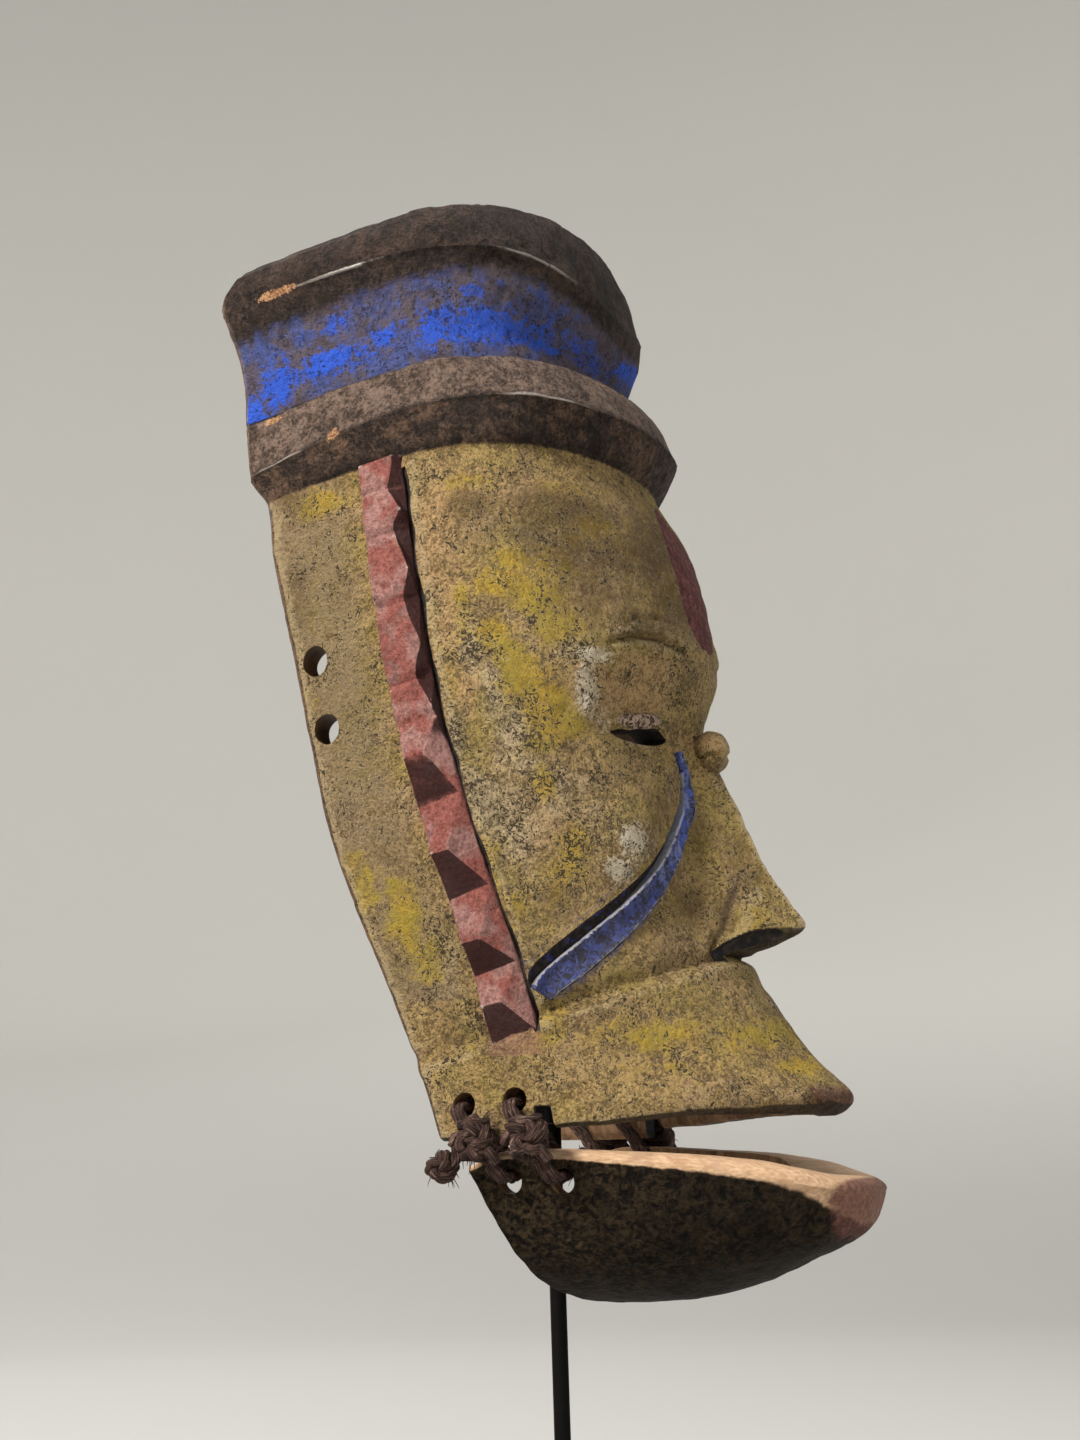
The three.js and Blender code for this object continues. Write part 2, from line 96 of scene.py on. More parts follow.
def hump(value, width):
    """1 at zero, falling smoothly to nothing on both sides."""
    return np.exp(-((value / width) ** 2))


def at_points(points, size, seed, measure):
    """The measure taken at each point of an array of points, once they are divided by size."""
    points = np.asarray(points, float)
    flat = points.reshape(-1, 3) / np.array(size) + seed
    return np.array([measure(p) for p in flat.tolist()]).reshape(points.shape[:-1])


def uneven(points, size, seed=0.0):
    """Smooth noise from about -1 to 1 at each point, with lumps of about the given size."""
    return at_points(points, size, seed, noise.noise)


def scallops(points, sizes, seed=0.0):
    """Shallow dishes side by side, as a gouge leaves them: 0 in a dish, about 1 at its rim."""
    return at_points(points, sizes, seed, lambda p: noise.voronoi(p)[0][0])


def travelled(points):
    """How far along a line of points each of them lies."""
    return np.concatenate([[0], np.cumsum(np.linalg.norm(np.diff(points, axis=0), axis=1))])


# ---------------------------------------------------------------- the mask's own shape

RIM_HEIGHT = 176
HAT_TOP = 444
HOLLOW_TOP = 424
WALL_SIDE = 9.5
WALL_FRONT = 13
HAT_MIDDLE_X = -22
HOLLOW_MIDDLE_X = -40
ARC_SHARE = 0.7
LOWER_RIDGE = 383.5
UPPER_RIDGE = 431.2
FACE_EDGE = 371
BLUE_LOW = 398.4
BLUE_HIGH = 426.5

front_x = curve([
    (176, 86), (179, 89.6), (183, 90), (190, 85), (203, 75), (216, 66.5), (226, 60.5), (238, 55),
    (252, 52), (268, 50.5), (287, 49.5), (296, 51), (310, 54.6), (322, 54), (336, 51.5),
    (350, 46.5), (362, 40), (371, 36.5), (376, 39.5), (384, 42), (392, 37.5), (398.4, 28.5),
    (400, 26.5), (406, 25.6), (413, 27.8), (422, 31.5), (431, 31.5), (438, 29.5), (444, 25),
])
widest_x = curve([(176, 14), (210, 10), (260, 0), (300, -8), (345, -14), (444, -18)])
back_x = curve([
    (176, -15), (190, -19), (210, -26), (235, -35), (262, -43.5), (288, -48.5), (326, -55.5),
    (350, -60), (371, -62), (384, -67), (398, -68.5), (414, -69), (426, -72), (433, -75.5),
    (438, -75), (444, -71),
])
half_width = curve([
    (176, 54), (192, 54.5), (214, 56), (240, 62.5), (270, 67.5), (310, 69.5), (345, 68.5),
    (368, 66.5), (374, 68.5), (383, 71.5), (391, 70.5), (398, 68.5), (400, 67), (412, 65.8),
    (424, 66.5), (428, 68), (432, 70), (438, 69.5), (444, 66.5),
])
back_half_width = curve([(176, 53), (214, 54), (262, 61), (320, 63), (371, 62), (444, 64)])
plan_power = curve([(176, 1.6), (226, 1.65), (290, 1.72), (340, 1.8), (371, 2), (444, 2)])
tilt = curve([(176, 0), (315, 0), (371, 0.14), (384, 0.2), (398, 0.175), (428, 0.17), (431, 0.12),
              (444, 0.165)])
front_dip = curve([(176, 0), (340, 0), (371, 5), (384, 9), (398, 2), (412, 9), (428, 17), (431, 13),
                   (444, 1)])
TAB_FRONT = 18
lip_rim = curve([(-20, 0), (TAB_FRONT - 1, 0), (TAB_FRONT + 1, 2.4), (34, 3), (55, 4.6), (72, 4.8),
                 (90, 4)])
top_rise = curve([(0, 8.2), (0.3, 8), (0.5, 7.5), (0.86, 5.5), (0.96, 3), (1, 0)])

VIEW_TURN = math.radians(20)
crease_height = curve([(-36, 199.5), (-22, 203.5), (0, 210.5), (12, 214.5), (28, 219.5),
                       (42, 223.5), (52, 227)])
NOSE_ROOT = 290
NOSE_BASE = 226.5
nose_ridge = curve([(226.5, 62.5), (233, 79), (240, 76), (253, 68), (271.5, 60.2), (280, 56),
                    (287, 53), (294, 51)])
nose_half_width = curve([(226, 18), (240, 16), (262, 12.5), (290, 8)])
strip_half_width = curve([(316.5, 0), (318, 5), (320.5, 9), (324, 11.8), (330, 13), (340, 13.3),
                          (348, 12.6), (354, 10.6), (359, 7), (362.5, 3), (364, 0)])
band_x = curve([(204, 9.5), (228, 5), (265, -4.5), (300, -12), (335, -17.5), (367, -22)])
BAND_HALF_WIDTH = 6.4
BAND_TOP = 367
BAND_FOOT = 204
EYE_ACROSS = 29.0
EYE_HEIGHT = 288.8
EYE_HALF_LENGTH = 8.8
eye_upper = curve([(-1, 0.3), (-0.8, 0.9), (-0.45, 1.4), (0, 1.7), (0.4, 2.5), (0.7, 2.5),
                   (1, 0.1)])
eye_lower = curve([(-1, 0.1), (-0.8, -0.9), (-0.4, -1.8), (0.1, -2.3), (0.5, -2.2), (0.8, -1.5),
                   (1, -0.2)])

# The middle of the blue rib: distance from the mask's middle, height and half width.
RIB_PATH = [(12.2, 286, 1.3), (10.8, 278.5, 2.0), (11.2, 270, 2.4), (17.5, 261, 2.7),
            (28, 249, 3.1), (38, 238.5, 3.5), (47, 229.5, 3.9), (52, 222.5, 4.0),
            (54.6, 217.2, 3.6), (55.4, 215.0, 3.2)]
SIDE_HOLES = [(-44.3, 312.5), (-41.1, 292.4)]
SIDE_HOLE_RADIUS = 4.4
TIES = {
    "rear": ((-6.2, 185.6), (4.5, 164.6)),
    "front": ((8.9, 186.4), (19.3, 164.2)),
}
TIE_HOLE_RADIUS = 3.5
BACK_EDGE_RADIUS = 3.0
RIM_RADIUS = 2.0
HOLLOW_EDGE_RADIUS = 2.2
# How far apart the skin's columns are over the face and towards the back.
COLUMN_SPACING = (1.12, 1.85)

KNOB_PLACE = (53.7, 0, 287)
# Places noise.noise_vector, which follows the clock while no seed is set.
NOISE_SEED = 7

# What the places of the strip and the bands, and the painted shade of the undersides, read away
# from them.
OFF_STRIP = -9
OFF_BAND = -40
IN_LIGHT = -3

# Places where the ridges are chipped to raw wood: side, x, level, half length and half height.
CHIPS = [
    (-1, -54, 431.4, 9, 2.1), (-1, -57, 396.8, 3.6, 2.0), (-1, -35, 384.6, 2.6, 2.2),
    (-1, 31.5, 392, 1.3, 0.9), (-1, 35, 389.8, 1.0, 0.9), (-1, -70, 383, 3, 4),
    (1, -28, 431.6, 8, 1.8), (1, 11, 384, 4, 1.8), (1, -62, 385, 5, 2.4), (1, -60, 397, 3, 2),
]


def section(level, around, side_inset=0.0, front_inset=0.0):
    """The plain section at a level: around is -1 at the right back edge, 0 in front, 1 left."""
    side = np.abs(around)
    straight = side > ARC_SHARE
    middle = widest_x(level)
    front = front_x(level) - front_inset
    half = half_width(level) - side_inset
    back_half = np.minimum(back_half_width(level), half_width(level)) - side_inset
    along = np.clip((side - ARC_SHARE) / (1 - ARC_SHARE), 0, 1)
    angle = np.clip(side / ARC_SHARE, 0, 1) * math.pi / 2
    power = 2 / plan_power(level)
    forward = np.where(straight, 0, np.clip(np.cos(angle), 0, 1) ** power)
    x = middle + np.where(straight, (back_x(level) - middle) * along, (front - middle) * forward)
    y = np.where(straight, half + (back_half - half) * along**2, half * np.sin(angle) ** power)
    return x, np.sign(around) * y, forward


def plain_skin(level, around):
    """The mask's outside before carving; its bands rise towards the front."""
    x, y, forward = section(level, around)
    rim = lip_rim(x) * (1 - step(RIM_HEIGHT, 200, level))
    bend = 3 + 2.5 * step(395, 420, level)
    z = level + rim + tilt(level) * x - front_dip(level) * forward**bend
    return np.stack(np.broadcast_arrays(x, y, z), -1)


def across(x, y):
    """The distance from the mask's middle as the photograph's camera sees it."""
    return x * math.cos(VIEW_TURN) - np.abs(y) * math.sin(VIEW_TURN)


def oval(x, z, middle_x, middle_z, half_length, half_height):
    """1 at the middle of an oval, falling smoothly to nothing around it."""
    return np.exp(-(((x - middle_x) / half_length) ** 2) - ((z - middle_z) / half_height) ** 2)


def eye_lines(q, z):
    """Heights above the eye's upper and lower edge, and how near the eye's middle q is (0 to 1)."""
    along = (q - EYE_ACROSS) / EYE_HALF_LENGTH
    share = np.clip(1 - (along / 1.15) ** 2, 0, 1)
    return z - EYE_HEIGHT - eye_upper(along), EYE_HEIGHT + eye_lower(along) - z, share


def brow_crease(q, z):
    """Height above the crease over the eye, and 1 along it fading out at its ends."""
    return z - (316.8 - 0.019 * (q - 32) ** 2), step(18, 24, q) * step(48, 43, q)


def wing_crease(q, y, z):
    """Distance in front of the crease behind the nose's wing, and 1 along it."""
    wing = (np.abs(y) > 3) * step(224, 228, z) * step(254, 243, z)
    return q - (46.3 + 0.009 * (z - 240) ** 2), wing


def carving(point, level):
    """How far the carved features stand out from the plain skin, or sink into it."""
    x, y, z = np.moveaxis(point, -1, 0)
    q = across(x, y)
    # the lip's crease and the swell under it
    from_crease = z - crease_height(q)
    out = -1.5 * hump(from_crease, 2.8) - 0.6 * hump(from_crease + 0.2, 0.8)
    out += 0.9 * hump(from_crease + 4.2, 2.8)
    # the eye's socket, the cheek and the dip beside the nose
    out -= 2.6 * (1 - step(0.3, 1.1, np.hypot((q - 31) / 16, (z - 297) / 19)))
    out += 2.9 * oval(q, z, 25, 257, 12, 15) - 1.2 * oval(q, z, 44, 250, 6, 16)
    # the lids
    above, below, share = eye_lines(q, z)
    near_eye = np.sqrt(share) * (np.abs(y) > 6)
    out += (1.5 * hump(above - 2.2, 1.9) - 0.8 * hump(above - 5.2, 1.1)) * near_eye
    out += 0.5 * hump(below - 1.0, 1.1) * near_eye
    # the brow
    arc, on_arc = brow_crease(q, z)
    out += (-1.25 * hump(arc, 0.85) + 1.0 * step(0.2, 1.8, arc) * step(11, 3, arc)) * on_arc
    upper_arc = z - (322.9 - 0.03 * (q - 33.5) ** 2)
    out -= 0.4 * hump(upper_arc, 0.8) * step(18, 25, q) * step(45, 38, q)
    # the outline of the forehead's strip
    strip = strip_half_width(z) - np.abs(y)
    in_strip = (x > 20) * step(315.5, 317, z) * step(373, 371, z)
    out += (-0.3 * step(-0.2, 0.6, strip) - 0.45 * hump(strip - 0.3, 0.6)) * in_strip
    # a swell in front of the notched band and a dip behind it
    side = (np.abs(y) > 30) * step(BAND_FOOT - 2, BAND_FOOT + 4, z) * step(373, 368, level)
    beyond = x - band_x(z) - BAND_HALF_WIDTH
    out += (1.3 * hump(beyond - 2.9, 2.2) - 0.8 * hump(beyond + 14.5, 2.5)) * side
    # the crease behind the nose's wing
    wing_line, wing = wing_crease(q, y, z)
    out += (-3.3 * hump(wing_line, 0.9) + 1.5 * hump(wing_line - 2.2, 1.4)) * wing
    out += 0.7 * hump(wing_line + 2.2, 1.2) * wing
    # the hat's ridges and seams
    out += 1.0 * np.exp(-np.abs(level - LOWER_RIDGE) / 1.5)
    out += 0.9 * np.exp(-np.abs(level - UPPER_RIDGE) / 1.5)
    out -= 0.8 * hump(level - BLUE_LOW - 0.7, 0.9) + 0.9 * hump(level - FACE_EDGE, 1.5)
    return out - 0.5 * hump(level - 406, 5)


def nose_reach(point):
    """The x of each point once the nose has been drawn forward."""
    x, y, z = np.moveaxis(point, -1, 0)
    share = np.clip(1 - np.abs(y) / nose_half_width(z), 0, 1)
    inside = (z >= NOSE_BASE) & (z <= NOSE_ROOT)
    lift = np.maximum(nose_ridge(z) - x, 0)
    return np.where(inside, x + lift * (1.3 * share**1.5 - 0.3 * share**2.5), x)


def chipped(point):
    """1 in the chips of the hat's ridges, 0 elsewhere."""
    x, y, z = np.moveaxis(point, -1, 0)
    total = np.zeros(x.shape)
    for side, place, height, half_length, half_height in CHIPS:
        rise = z - tilt(height) * x
        total += oval(x, rise, place, height, half_length, half_height) * (y * side > 0)
    return np.clip(total, 0, 1)


def normals_of(rows):
    """Outward normals of a grid of points whose columns run round and whose rows run up."""
    round_it = np.gradient(rows, axis=1)
    upward = np.gradient(rows, axis=0)
    normal = np.cross(round_it, upward)
    length = np.linalg.norm(normal, axis=-1, keepdims=True)
    return normal / np.maximum(length, 1e-9)


def row_levels():
    """Levels of the skin's rows, closer together where the carving is fine."""
    stretches = [
        (176, 184, 0.8), (184, 200, 1.4), (200, 226, 1.1), (226, 234, 0.6), (234, 282, 1.15),
        (282, 298, 0.75), (298, 326, 0.95), (326, 366, 1.35), (366, FACE_EDGE, 0.9),
        (FACE_EDGE, 380, 1.2), (380, LOWER_RIDGE, 0.6), (LOWER_RIDGE, 387, 0.6), (387, 396, 1.2),
        (396, 402, 0.6), (402, 428, 1.25), (428, UPPER_RIDGE, 0.6), (UPPER_RIDGE, 434.5, 0.6),
        (434.5, HAT_TOP, 1.3),
    ]
    levels = []
    for low, high, spacing in stretches:
        count = round((high - low) / spacing)
        levels.extend(low + (high - low) * np.arange(count) / count)
    return np.array(levels + [HAT_TOP])


def both_sides(half):
    """Places from one end round to the other, from those between the middle and one end."""
    return np.concatenate([-half[:0:-1], half])


def column_places(over_face, at_back):
    """Places around the skin, closer together over the face."""
    place = np.linspace(0, 1, 801)
    ring = plain_skin(np.full(801, 290.0), place)
    gaps = np.linalg.norm(np.diff(ring, axis=0), axis=1)
    spacing = over_face + (at_back - over_face) * step(0.5, 0.8, place[1:])
    density = np.concatenate([[0], np.cumsum(gaps / spacing)])
    count = round(density[-1])
    return both_sides(np.interp(np.linspace(0, density[-1], count + 1), density, place))


def rounded(distance, radius):
    """How far a surface is set in at this distance from its rounded edge."""
    t = np.clip(radius - distance, 0, radius)
    return radius - np.sqrt(radius**2 - t**2)


def carved_skin(level, around):
    """Points of the plain skin with the large carving and the nose, and their normals."""
    point = plain_skin(level, around)
    point = point + normals_of(point) * carving(point, level)[..., None]
    point[..., 0] = nose_reach(point)
    return point, normals_of(point)


def round_back_edge(point, level, around, radius, way):
    """Moves a grid's sides in (way -1) or out (way 1) towards the back, in a rounded edge."""
    shift = rounded(np.maximum(point[..., 0] - back_x(level), 0), radius)
    point[..., 1] += way * np.sign(point[..., 1]) * shift * (np.abs(around) > ARC_SHARE)


def mask_rows():
    """The grid of the outer skin: its points, levels, places around and chips."""
    level, around = np.meshgrid(row_levels(), column_places(*COLUMN_SPACING), indexing="ij")
    point, normal = carved_skin(level, around)
    chips = chipped(point)
    wavy = 0.45 * uneven(point, 16) + 0.3 * uneven(point, 6.5, 3.1) + 0.17 * uneven(point, 2.9, 7.7)
    facets = 0.3 * (scallops(point, (9, 9, 15), 5.3) - 0.45)
    pits = -0.38 * step(0.22, 0.6, uneven(point, 3.6, 12.9))
    above, _, share = eye_lines(across(point[..., 0], point[..., 1]), point[..., 2])
    on_lid = (share > 0) * (np.abs(around) < 0.5)
    lid = 0.75 * uneven(point, 1.7, 21.3) * hump(above - 3.0, 2.2) * on_lid
    point = point + normal * (wavy + facets + pits + lid - 0.7 * chips)[..., None]
    round_back_edge(point, level, around, BACK_EDGE_RADIUS, -1)
    set_in = rounded(level - RIM_HEIGHT, RIM_RADIUS)
    point = point - normal * set_in[..., None] * np.array([1, 1, 0])
    return point, level, around, chips


def ring_back(rows, count, bulge=0.0):
    """Closes rings of points behind with columns that run from the last to the first."""
    share = (np.arange(1, count) / count)[None, :, None]
    first, last = rows[:, :1], rows[:, -1:]
    back = last + (first - last) * share
    back[..., 0] -= bulge * np.sin(np.pi * share[..., 0])
    return np.concatenate([rows, back, first], axis=1)


def pulled_together(ring):
    """A row as long as the ring with every point at the ring's middle."""
    return np.repeat(ring.mean(0)[None], len(ring), 0)


def capped(rows):
    """Rings of points with a row at the middle of the first and of the last, to close them."""
    return np.stack([pulled_together(rows[0]), *rows, pulled_together(rows[-1])])


def shrunk(ring, centre_x, share, rise=0.0):
    """A ring drawn in to a share of its size about the middle plane, and lifted."""
    centre = np.array([centre_x, 0.0])
    return np.concatenate([centre + (ring[:, :2] - centre) * share, ring[:, 2:] + rise], 1)


# ---------------------------------------------------------------- meshes


def new_object(name, bm, materials=(), smooth_angle=None):
    """A new object with the bmesh's faces, its materials and its smooth shading."""
    mesh = bpy.data.meshes.new(name)
    bm.to_mesh(mesh)
    bm.free()
    thing = bpy.data.objects.new(name, mesh)
    bpy.context.scene.collection.objects.link(thing)
    for material in materials:
        mesh.materials.append(material)
    if smooth_angle is not None:
        smooth(thing, smooth_angle)
    return thing


def smooth(thing, angle):
    """Shades an object smooth, but for the edges sharper than the angle in degrees."""
    mesh = thing.data
    mesh.polygons.foreach_set("use_smooth", np.ones(len(mesh.polygons), bool))
    mesh.set_sharp_from_angle(angle=math.radians(angle))
    mesh.update()


def welded(bm):
    """Closes the seams and poles of a bmesh and turns its faces outwards."""
    bmesh.ops.remove_doubles(bm, verts=bm.verts[:], dist=1e-6)
    bmesh.ops.recalc_face_normals(bm, faces=bm.faces[:])
    return bm


def spun(profile, steps):
    """A profile of (radius, height) in millimetres turned about the upright axis."""
    bm = bmesh.new()
    verts = [bm.verts.new((radius * MM, 0, height * MM)) for radius, height in profile]
    edges = [bm.edges.new(pair) for pair in zip(verts, verts[1:])]
    bmesh.ops.spin(bm, geom=verts + edges, axis=(0, 0, 1), cent=(0, 0, 0), dvec=(0, 0, 0),
                   angle=2 * math.pi, steps=steps, use_merge=True, use_duplicate=False)
    return welded(bm)


def skin_mesh(rows, uv=False):
    """A bmesh grid laid over rows of points in millimetres, with seams and poles welded."""
    count_rows, count_columns = rows.shape[:2]
    bm = bmesh.new()
    bmesh.ops.create_grid(bm, x_segments=count_columns - 1, y_segments=count_rows - 1, size=1)
    bm.verts.ensure_lookup_table()
    for vert in bm.verts:
        column = round((vert.co.x + 1) / 2 * (count_columns - 1))
        row = round((vert.co.y + 1) / 2 * (count_rows - 1))
        vert.index = row * count_columns + column
    flat = (rows.reshape(-1, 3) * MM).tolist()
    if uv:
        layer = bm.loops.layers.uv.new("UVMap")
        along = travelled(rows.mean(axis=1)) * MM
        for face in bm.faces:
            for loop in face.loops:
                row, column = divmod(loop.vert.index, count_columns)
                loop[layer].uv = (column / (count_columns - 1), along[row])
    for vert in bm.verts:
        vert.co = flat[vert.index]
    return welded(bm)


def tube_rows(path, radius, sides, twist=0.0, lobes=0.0):
    """Rings of a tube along a path, closed at its ends; lobes make it a laid cord of strands."""
    path = np.asarray(path, float)
    along = np.gradient(path, axis=0)
    along /= np.maximum(np.linalg.norm(along, axis=1, keepdims=True), 1e-9)
    place = travelled(path)
    radii = np.broadcast_to(radius, place.shape)
    angle = np.linspace(0, 2 * np.pi, sides + 1)
    normal = np.cross(along[0], [0.3, 0.5, 0.81])
    rings = []
    for i, centre in enumerate(path):
        normal = normal - along[i] * np.dot(normal, along[i])
        normal /= np.linalg.norm(normal)
        binormal = np.cross(along[i], normal)
        strands = np.abs(np.cos(1.5 * (angle - twist * place[i])))
        reach = radii[i] * (1 - lobes + lobes * strands)[:, None]
        turn = np.cos(angle)[:, None] * normal + np.sin(angle)[:, None] * binormal
        rings.append(centre + reach * turn)
    ends = [np.repeat(path[i : i + 1], sides + 1, axis=0) for i in (0, len(path) - 1)]
    return np.stack([ends[0], *rings, ends[1]])


def resample(points, spacing):
    """Points along a smooth line through the given ones, a set distance apart."""
    points = np.asarray(points, float)
    gaps = np.linalg.norm(np.diff(points, axis=0), axis=1)
    place = np.concatenate([[0], np.cumsum(np.sqrt(gaps))])
    fine = np.linspace(0, place[-1], 40 * len(points))
    line = np.stack([curve(np.stack([place, values], 1))(fine) for values in points.T], 1)
    along = travelled(line)
    count = max(2, round(along[-1] / spacing))
    wanted = np.linspace(0, along[-1], count + 1)
    return np.stack([np.interp(wanted, along, values) for values in line.T], 1)


def combine(body, parts):
    """Joins parts on to body or cuts them out of it, keeping each part's own material."""
    for operation, part in parts:
        modifier = body.modifiers.new(part.name, "BOOLEAN")
        modifier.solver = "MANIFOLD"
        modifier.operation = operation
        modifier.material_mode = "TRANSFER"
        modifier.object = part
    evaluated = body.evaluated_get(bpy.context.evaluated_depsgraph_get())
    finished = bpy.data.meshes.new_from_object(evaluated)
    if len(finished.polygons) < 100:
        raise RuntimeError(f"{body.name} came out empty")
    body.modifiers.clear()
    body.data = finished
    for _, part in parts:
        bpy.data.objects.remove(part)


# ---------------------------------------------------------------- shader helper


class Wire:
    """A socket that adds Math nodes when it is added, multiplied or compared."""

    def __init__(self, paint, socket):
        self.paint = paint
        self.socket = socket

    def _math(self, operation, *values):
        return self.paint.node("ShaderNodeMath", {"operation": operation}, dict(enumerate(values)))

    def __add__(self, other):
        return self._math("ADD", self, other)

    def __sub__(self, other):
        return self._math("SUBTRACT", self, other)

    def __rsub__(self, other):
        return self._math("SUBTRACT", other, self)

    def __mul__(self, other):
        return self._math("MULTIPLY", self, other)

    __radd__ = __add__
    __rmul__ = __mul__

    def most(self, other):
        return self._math("MAXIMUM", self, other)

    def least(self, other):
        return self._math("MINIMUM", self, other)

    def size(self):
        return self._math("ABSOLUTE", self)

    def step(self, low, high):
        """0 below low, 1 above high, smooth between; low may be above high."""
        values = {"Value": self, "From Min": low, "From Max": high}
        return self.paint.node("ShaderNodeMapRange", {"interpolation_type": "SMOOTHSTEP"}, values)

    def shades(self, low, high, first, second):
        """The first colour below low, the second above high."""
        return self.paint.mix(self.step(low, high), first, second)


class Paint:
    """A material whose node tree is written with calls; sizes are millimetres."""

    def __init__(self, name):
        self.material = bpy.data.materials.new(name)
        self.material.use_nodes = True
        self.tree = self.material.node_tree
        self.shader = self.tree.nodes["Principled BSDF"]
        self.place = self.node("ShaderNodeTexCoord", {}, {}, "Object")

    def node(self, kind, settings, values, output=0):
        node = self.tree.nodes.new(kind)
        for key, value in settings.items():
            setattr(node, key, value)
        for key, value in values.items():
            self.put(node.inputs[key], value)
        return Wire(self, node.outputs[output])

    def put(self, socket, value):
        if isinstance(value, Wire):
            self.tree.links.new(value.socket, socket)
        elif isinstance(value, tuple) and len(value) == 3 and socket.type == "RGBA":
            socket.default_value = (*value, 1)
        else:
            socket.default_value = value

    def attribute(self, name):
        return self.node("ShaderNodeAttribute", {"attribute_name": name}, {}, "Fac")

    def axis(self, name):
        return self.node("ShaderNodeSeparateXYZ", {}, {0: self.place}, name) * (1 / MM)

    def stretched(self, factors, turn=(0, 0, 0)):
        values = {"Vector": self.place, "Scale": factors, "Rotation": turn}
        return self.node("ShaderNodeMapping", {}, values)

    def noise(self, size, detail=4, rough=0.55, vector=None, warp=0.0):
        """Noise about zero, from -0.5 to 0.5, with lumps of about the given size."""
        values = {"Vector": vector or self.place, "Scale": 1 / (size * MM), "Detail": detail,
                  "Roughness": rough, "Distortion": warp}
        return self.node("ShaderNodeTexNoise", {}, values) - 0.5

    def mix(self, factor, first, second):
        settings = {"data_type": "RGBA", "clamp_factor": True}
        return self.node("ShaderNodeMix", settings, {0: factor, 6: first, 7: second}, 2)

    def coats(self, colour, *coats):
        """Lays each coat's colour over the ones before it, as much as its share says."""
        for share, coat in coats:
            colour = self.mix(share, colour, coat)
        return colour

    def finish(self, colour, rough, height=None, specular=0.3, **constants):
        """Sets the shader; height is the relief in millimetres."""
        values = {"Base Color": colour, "Roughness": rough, "Specular IOR Level": specular}
        if height is not None:
            relief = {"Height": height, "Distance": MM, "Strength": 1.0}
            values["Normal"] = self.node("ShaderNodeBump", {}, relief)
        for key, value in {**values, **constants}.items():
            self.put(self.shader.inputs[key], value)
        return self.material


# ---------------------------------------------------------------- finishes


def ochre_paint(p, colours, look, tone):
    """The face's thick ochre paint with its yellow, its crackle and its glossy places, which carry
    a pale painted highlight.
    """
    broad, patch, middle, fine, grain, turned = look
    olive = tone.shades(0.15, 0.75, (0.155, 0.113, 0.030), (0.38, 0.280, 0.068))
    tawny = tone.shades(0.15, 0.75, (0.160, 0.093, 0.048), (0.49, 0.330, 0.178))
    umber = tone.shades(0.2, 0.8, (0.105, 0.062, 0.026), (0.33, 0.215, 0.098))
    tan = tone.shades(0.2, 0.75, (0.26, 0.150, 0.062), (0.56, 0.355, 0.165))
    cream = tone.shades(0.15, 0.75, (0.245, 0.185, 0.110), (0.62, 0.50, 0.33))
    mustard = tone.shades(0.15, 0.7, (0.33, 0.205, 0.024), tuple(colours.yellow))
    mustard = p.mix(patch.step(-0.08, 0.1) * 0.6, mustard, (0.33, 0.255, 0.030))
    crackle, gloss_and_highlight = p.attribute("crackle"), p.attribute("gloss_and_highlight")
    behind = p.attribute("behind") * (middle + fine).step(-0.35, 0.15)
    warm = (p.attribute("tan") + middle * 1.1 + fine * 0.5).step(0.3, 0.85)
    cracked = (crackle + middle * 1.3 + fine * 0.5).step(0.3, 0.95)
    yellow = (p.attribute("yellow") + middle * 1.5 + fine * 0.9).step(0.15, 0.75)
    # darker stains with painted shade, where the shade lobes lie
    stain_and_shade = (p.attribute("stain_and_painted_shade") * 1.5 + middle * 1.2 + patch * 0.9 + grain * 1.2).step(0.35, 1.2)
    # pale wear on proud places, with the painted highlight by the brow's and the wing's creases
    pale_wear_and_highlight = (p.attribute("wear_and_painted_highlight") * 0.7 + fine * 1.4 + grain).step(0.3, 0.8)
    hollows = p.noise(1.9, 2, 0.5, warp=2.2).most(p.noise(1.15, 2, 0.5, warp=1.2) - 0.03)
    hollows = hollows + crackle * 0.075 + p.noise(9, 3, 0.5, turned) * 0.4
    cracks = p.noise(2.3, 3, 0.6, warp=0.9).size().step(0.02, 0.006)
    cracks = cracks * p.noise(5.06, 3).step(0, 0.08) * (crackle + middle * 2).step(0.2, 0.6)
    dark = hollows.step(0.122, 0.16).most(cracks * 0.8)
    # the glossy places also get a pale painted highlight
    polish_and_highlight = (gloss_and_highlight * 1.15 + fine * 1.8 + grain * 1.8 - dark * 0.9).step(0.45, 1.0)
    lid = (p.attribute("lid") * 1.3 + fine * 0.9).step(0.35, 0.75)
    lid_wood = (p.noise(1.5, 3, 0.6, warp=1.2) - p.attribute("edge") * 0.4).shades(
        0.03, -0.08, (0.050, 0.030, 0.022), (0.60, 0.42, 0.315))
    colour = p.coats(
        tone.shades(0.12, 0.85, (0.135, 0.085, 0.030), (0.49, 0.330, 0.130)),
        (broad.step(-0.04, 0.08) * 0.6, olive),
        (patch.step(0, 0.12) * 0.6, tawny),
        (p.noise(19, 4, 0.62).step(0, 0.12) * 0.6, umber),
        (behind * 0.75, (0.235, 0.170, 0.108)),
        (warm * 0.8, tan),
        (cracked * 0.6, cream),
        (yellow * 0.92, mustard),
        # the darker stain and painted shade
        (stain_and_shade * 0.8, (0.092, 0.050, 0.013)),
        (pale_wear_and_highlight * 0.45, (0.54, 0.42, 0.235)),
        # pale rims round the pits: partly paint, partly a painted highlight
        (hollows.step(0.065, 0.10) * 0.36, (0.60, 0.465, 0.25)),
        (dark * 0.9, (0.033, 0.020, 0.011)),
        (polish_and_highlight * 0.6, (0.72, 0.63, 0.46)),
        (lid * 0.9, lid_wood),
    )
    return colour, dark, polish_and_highlight, gloss_and_highlight


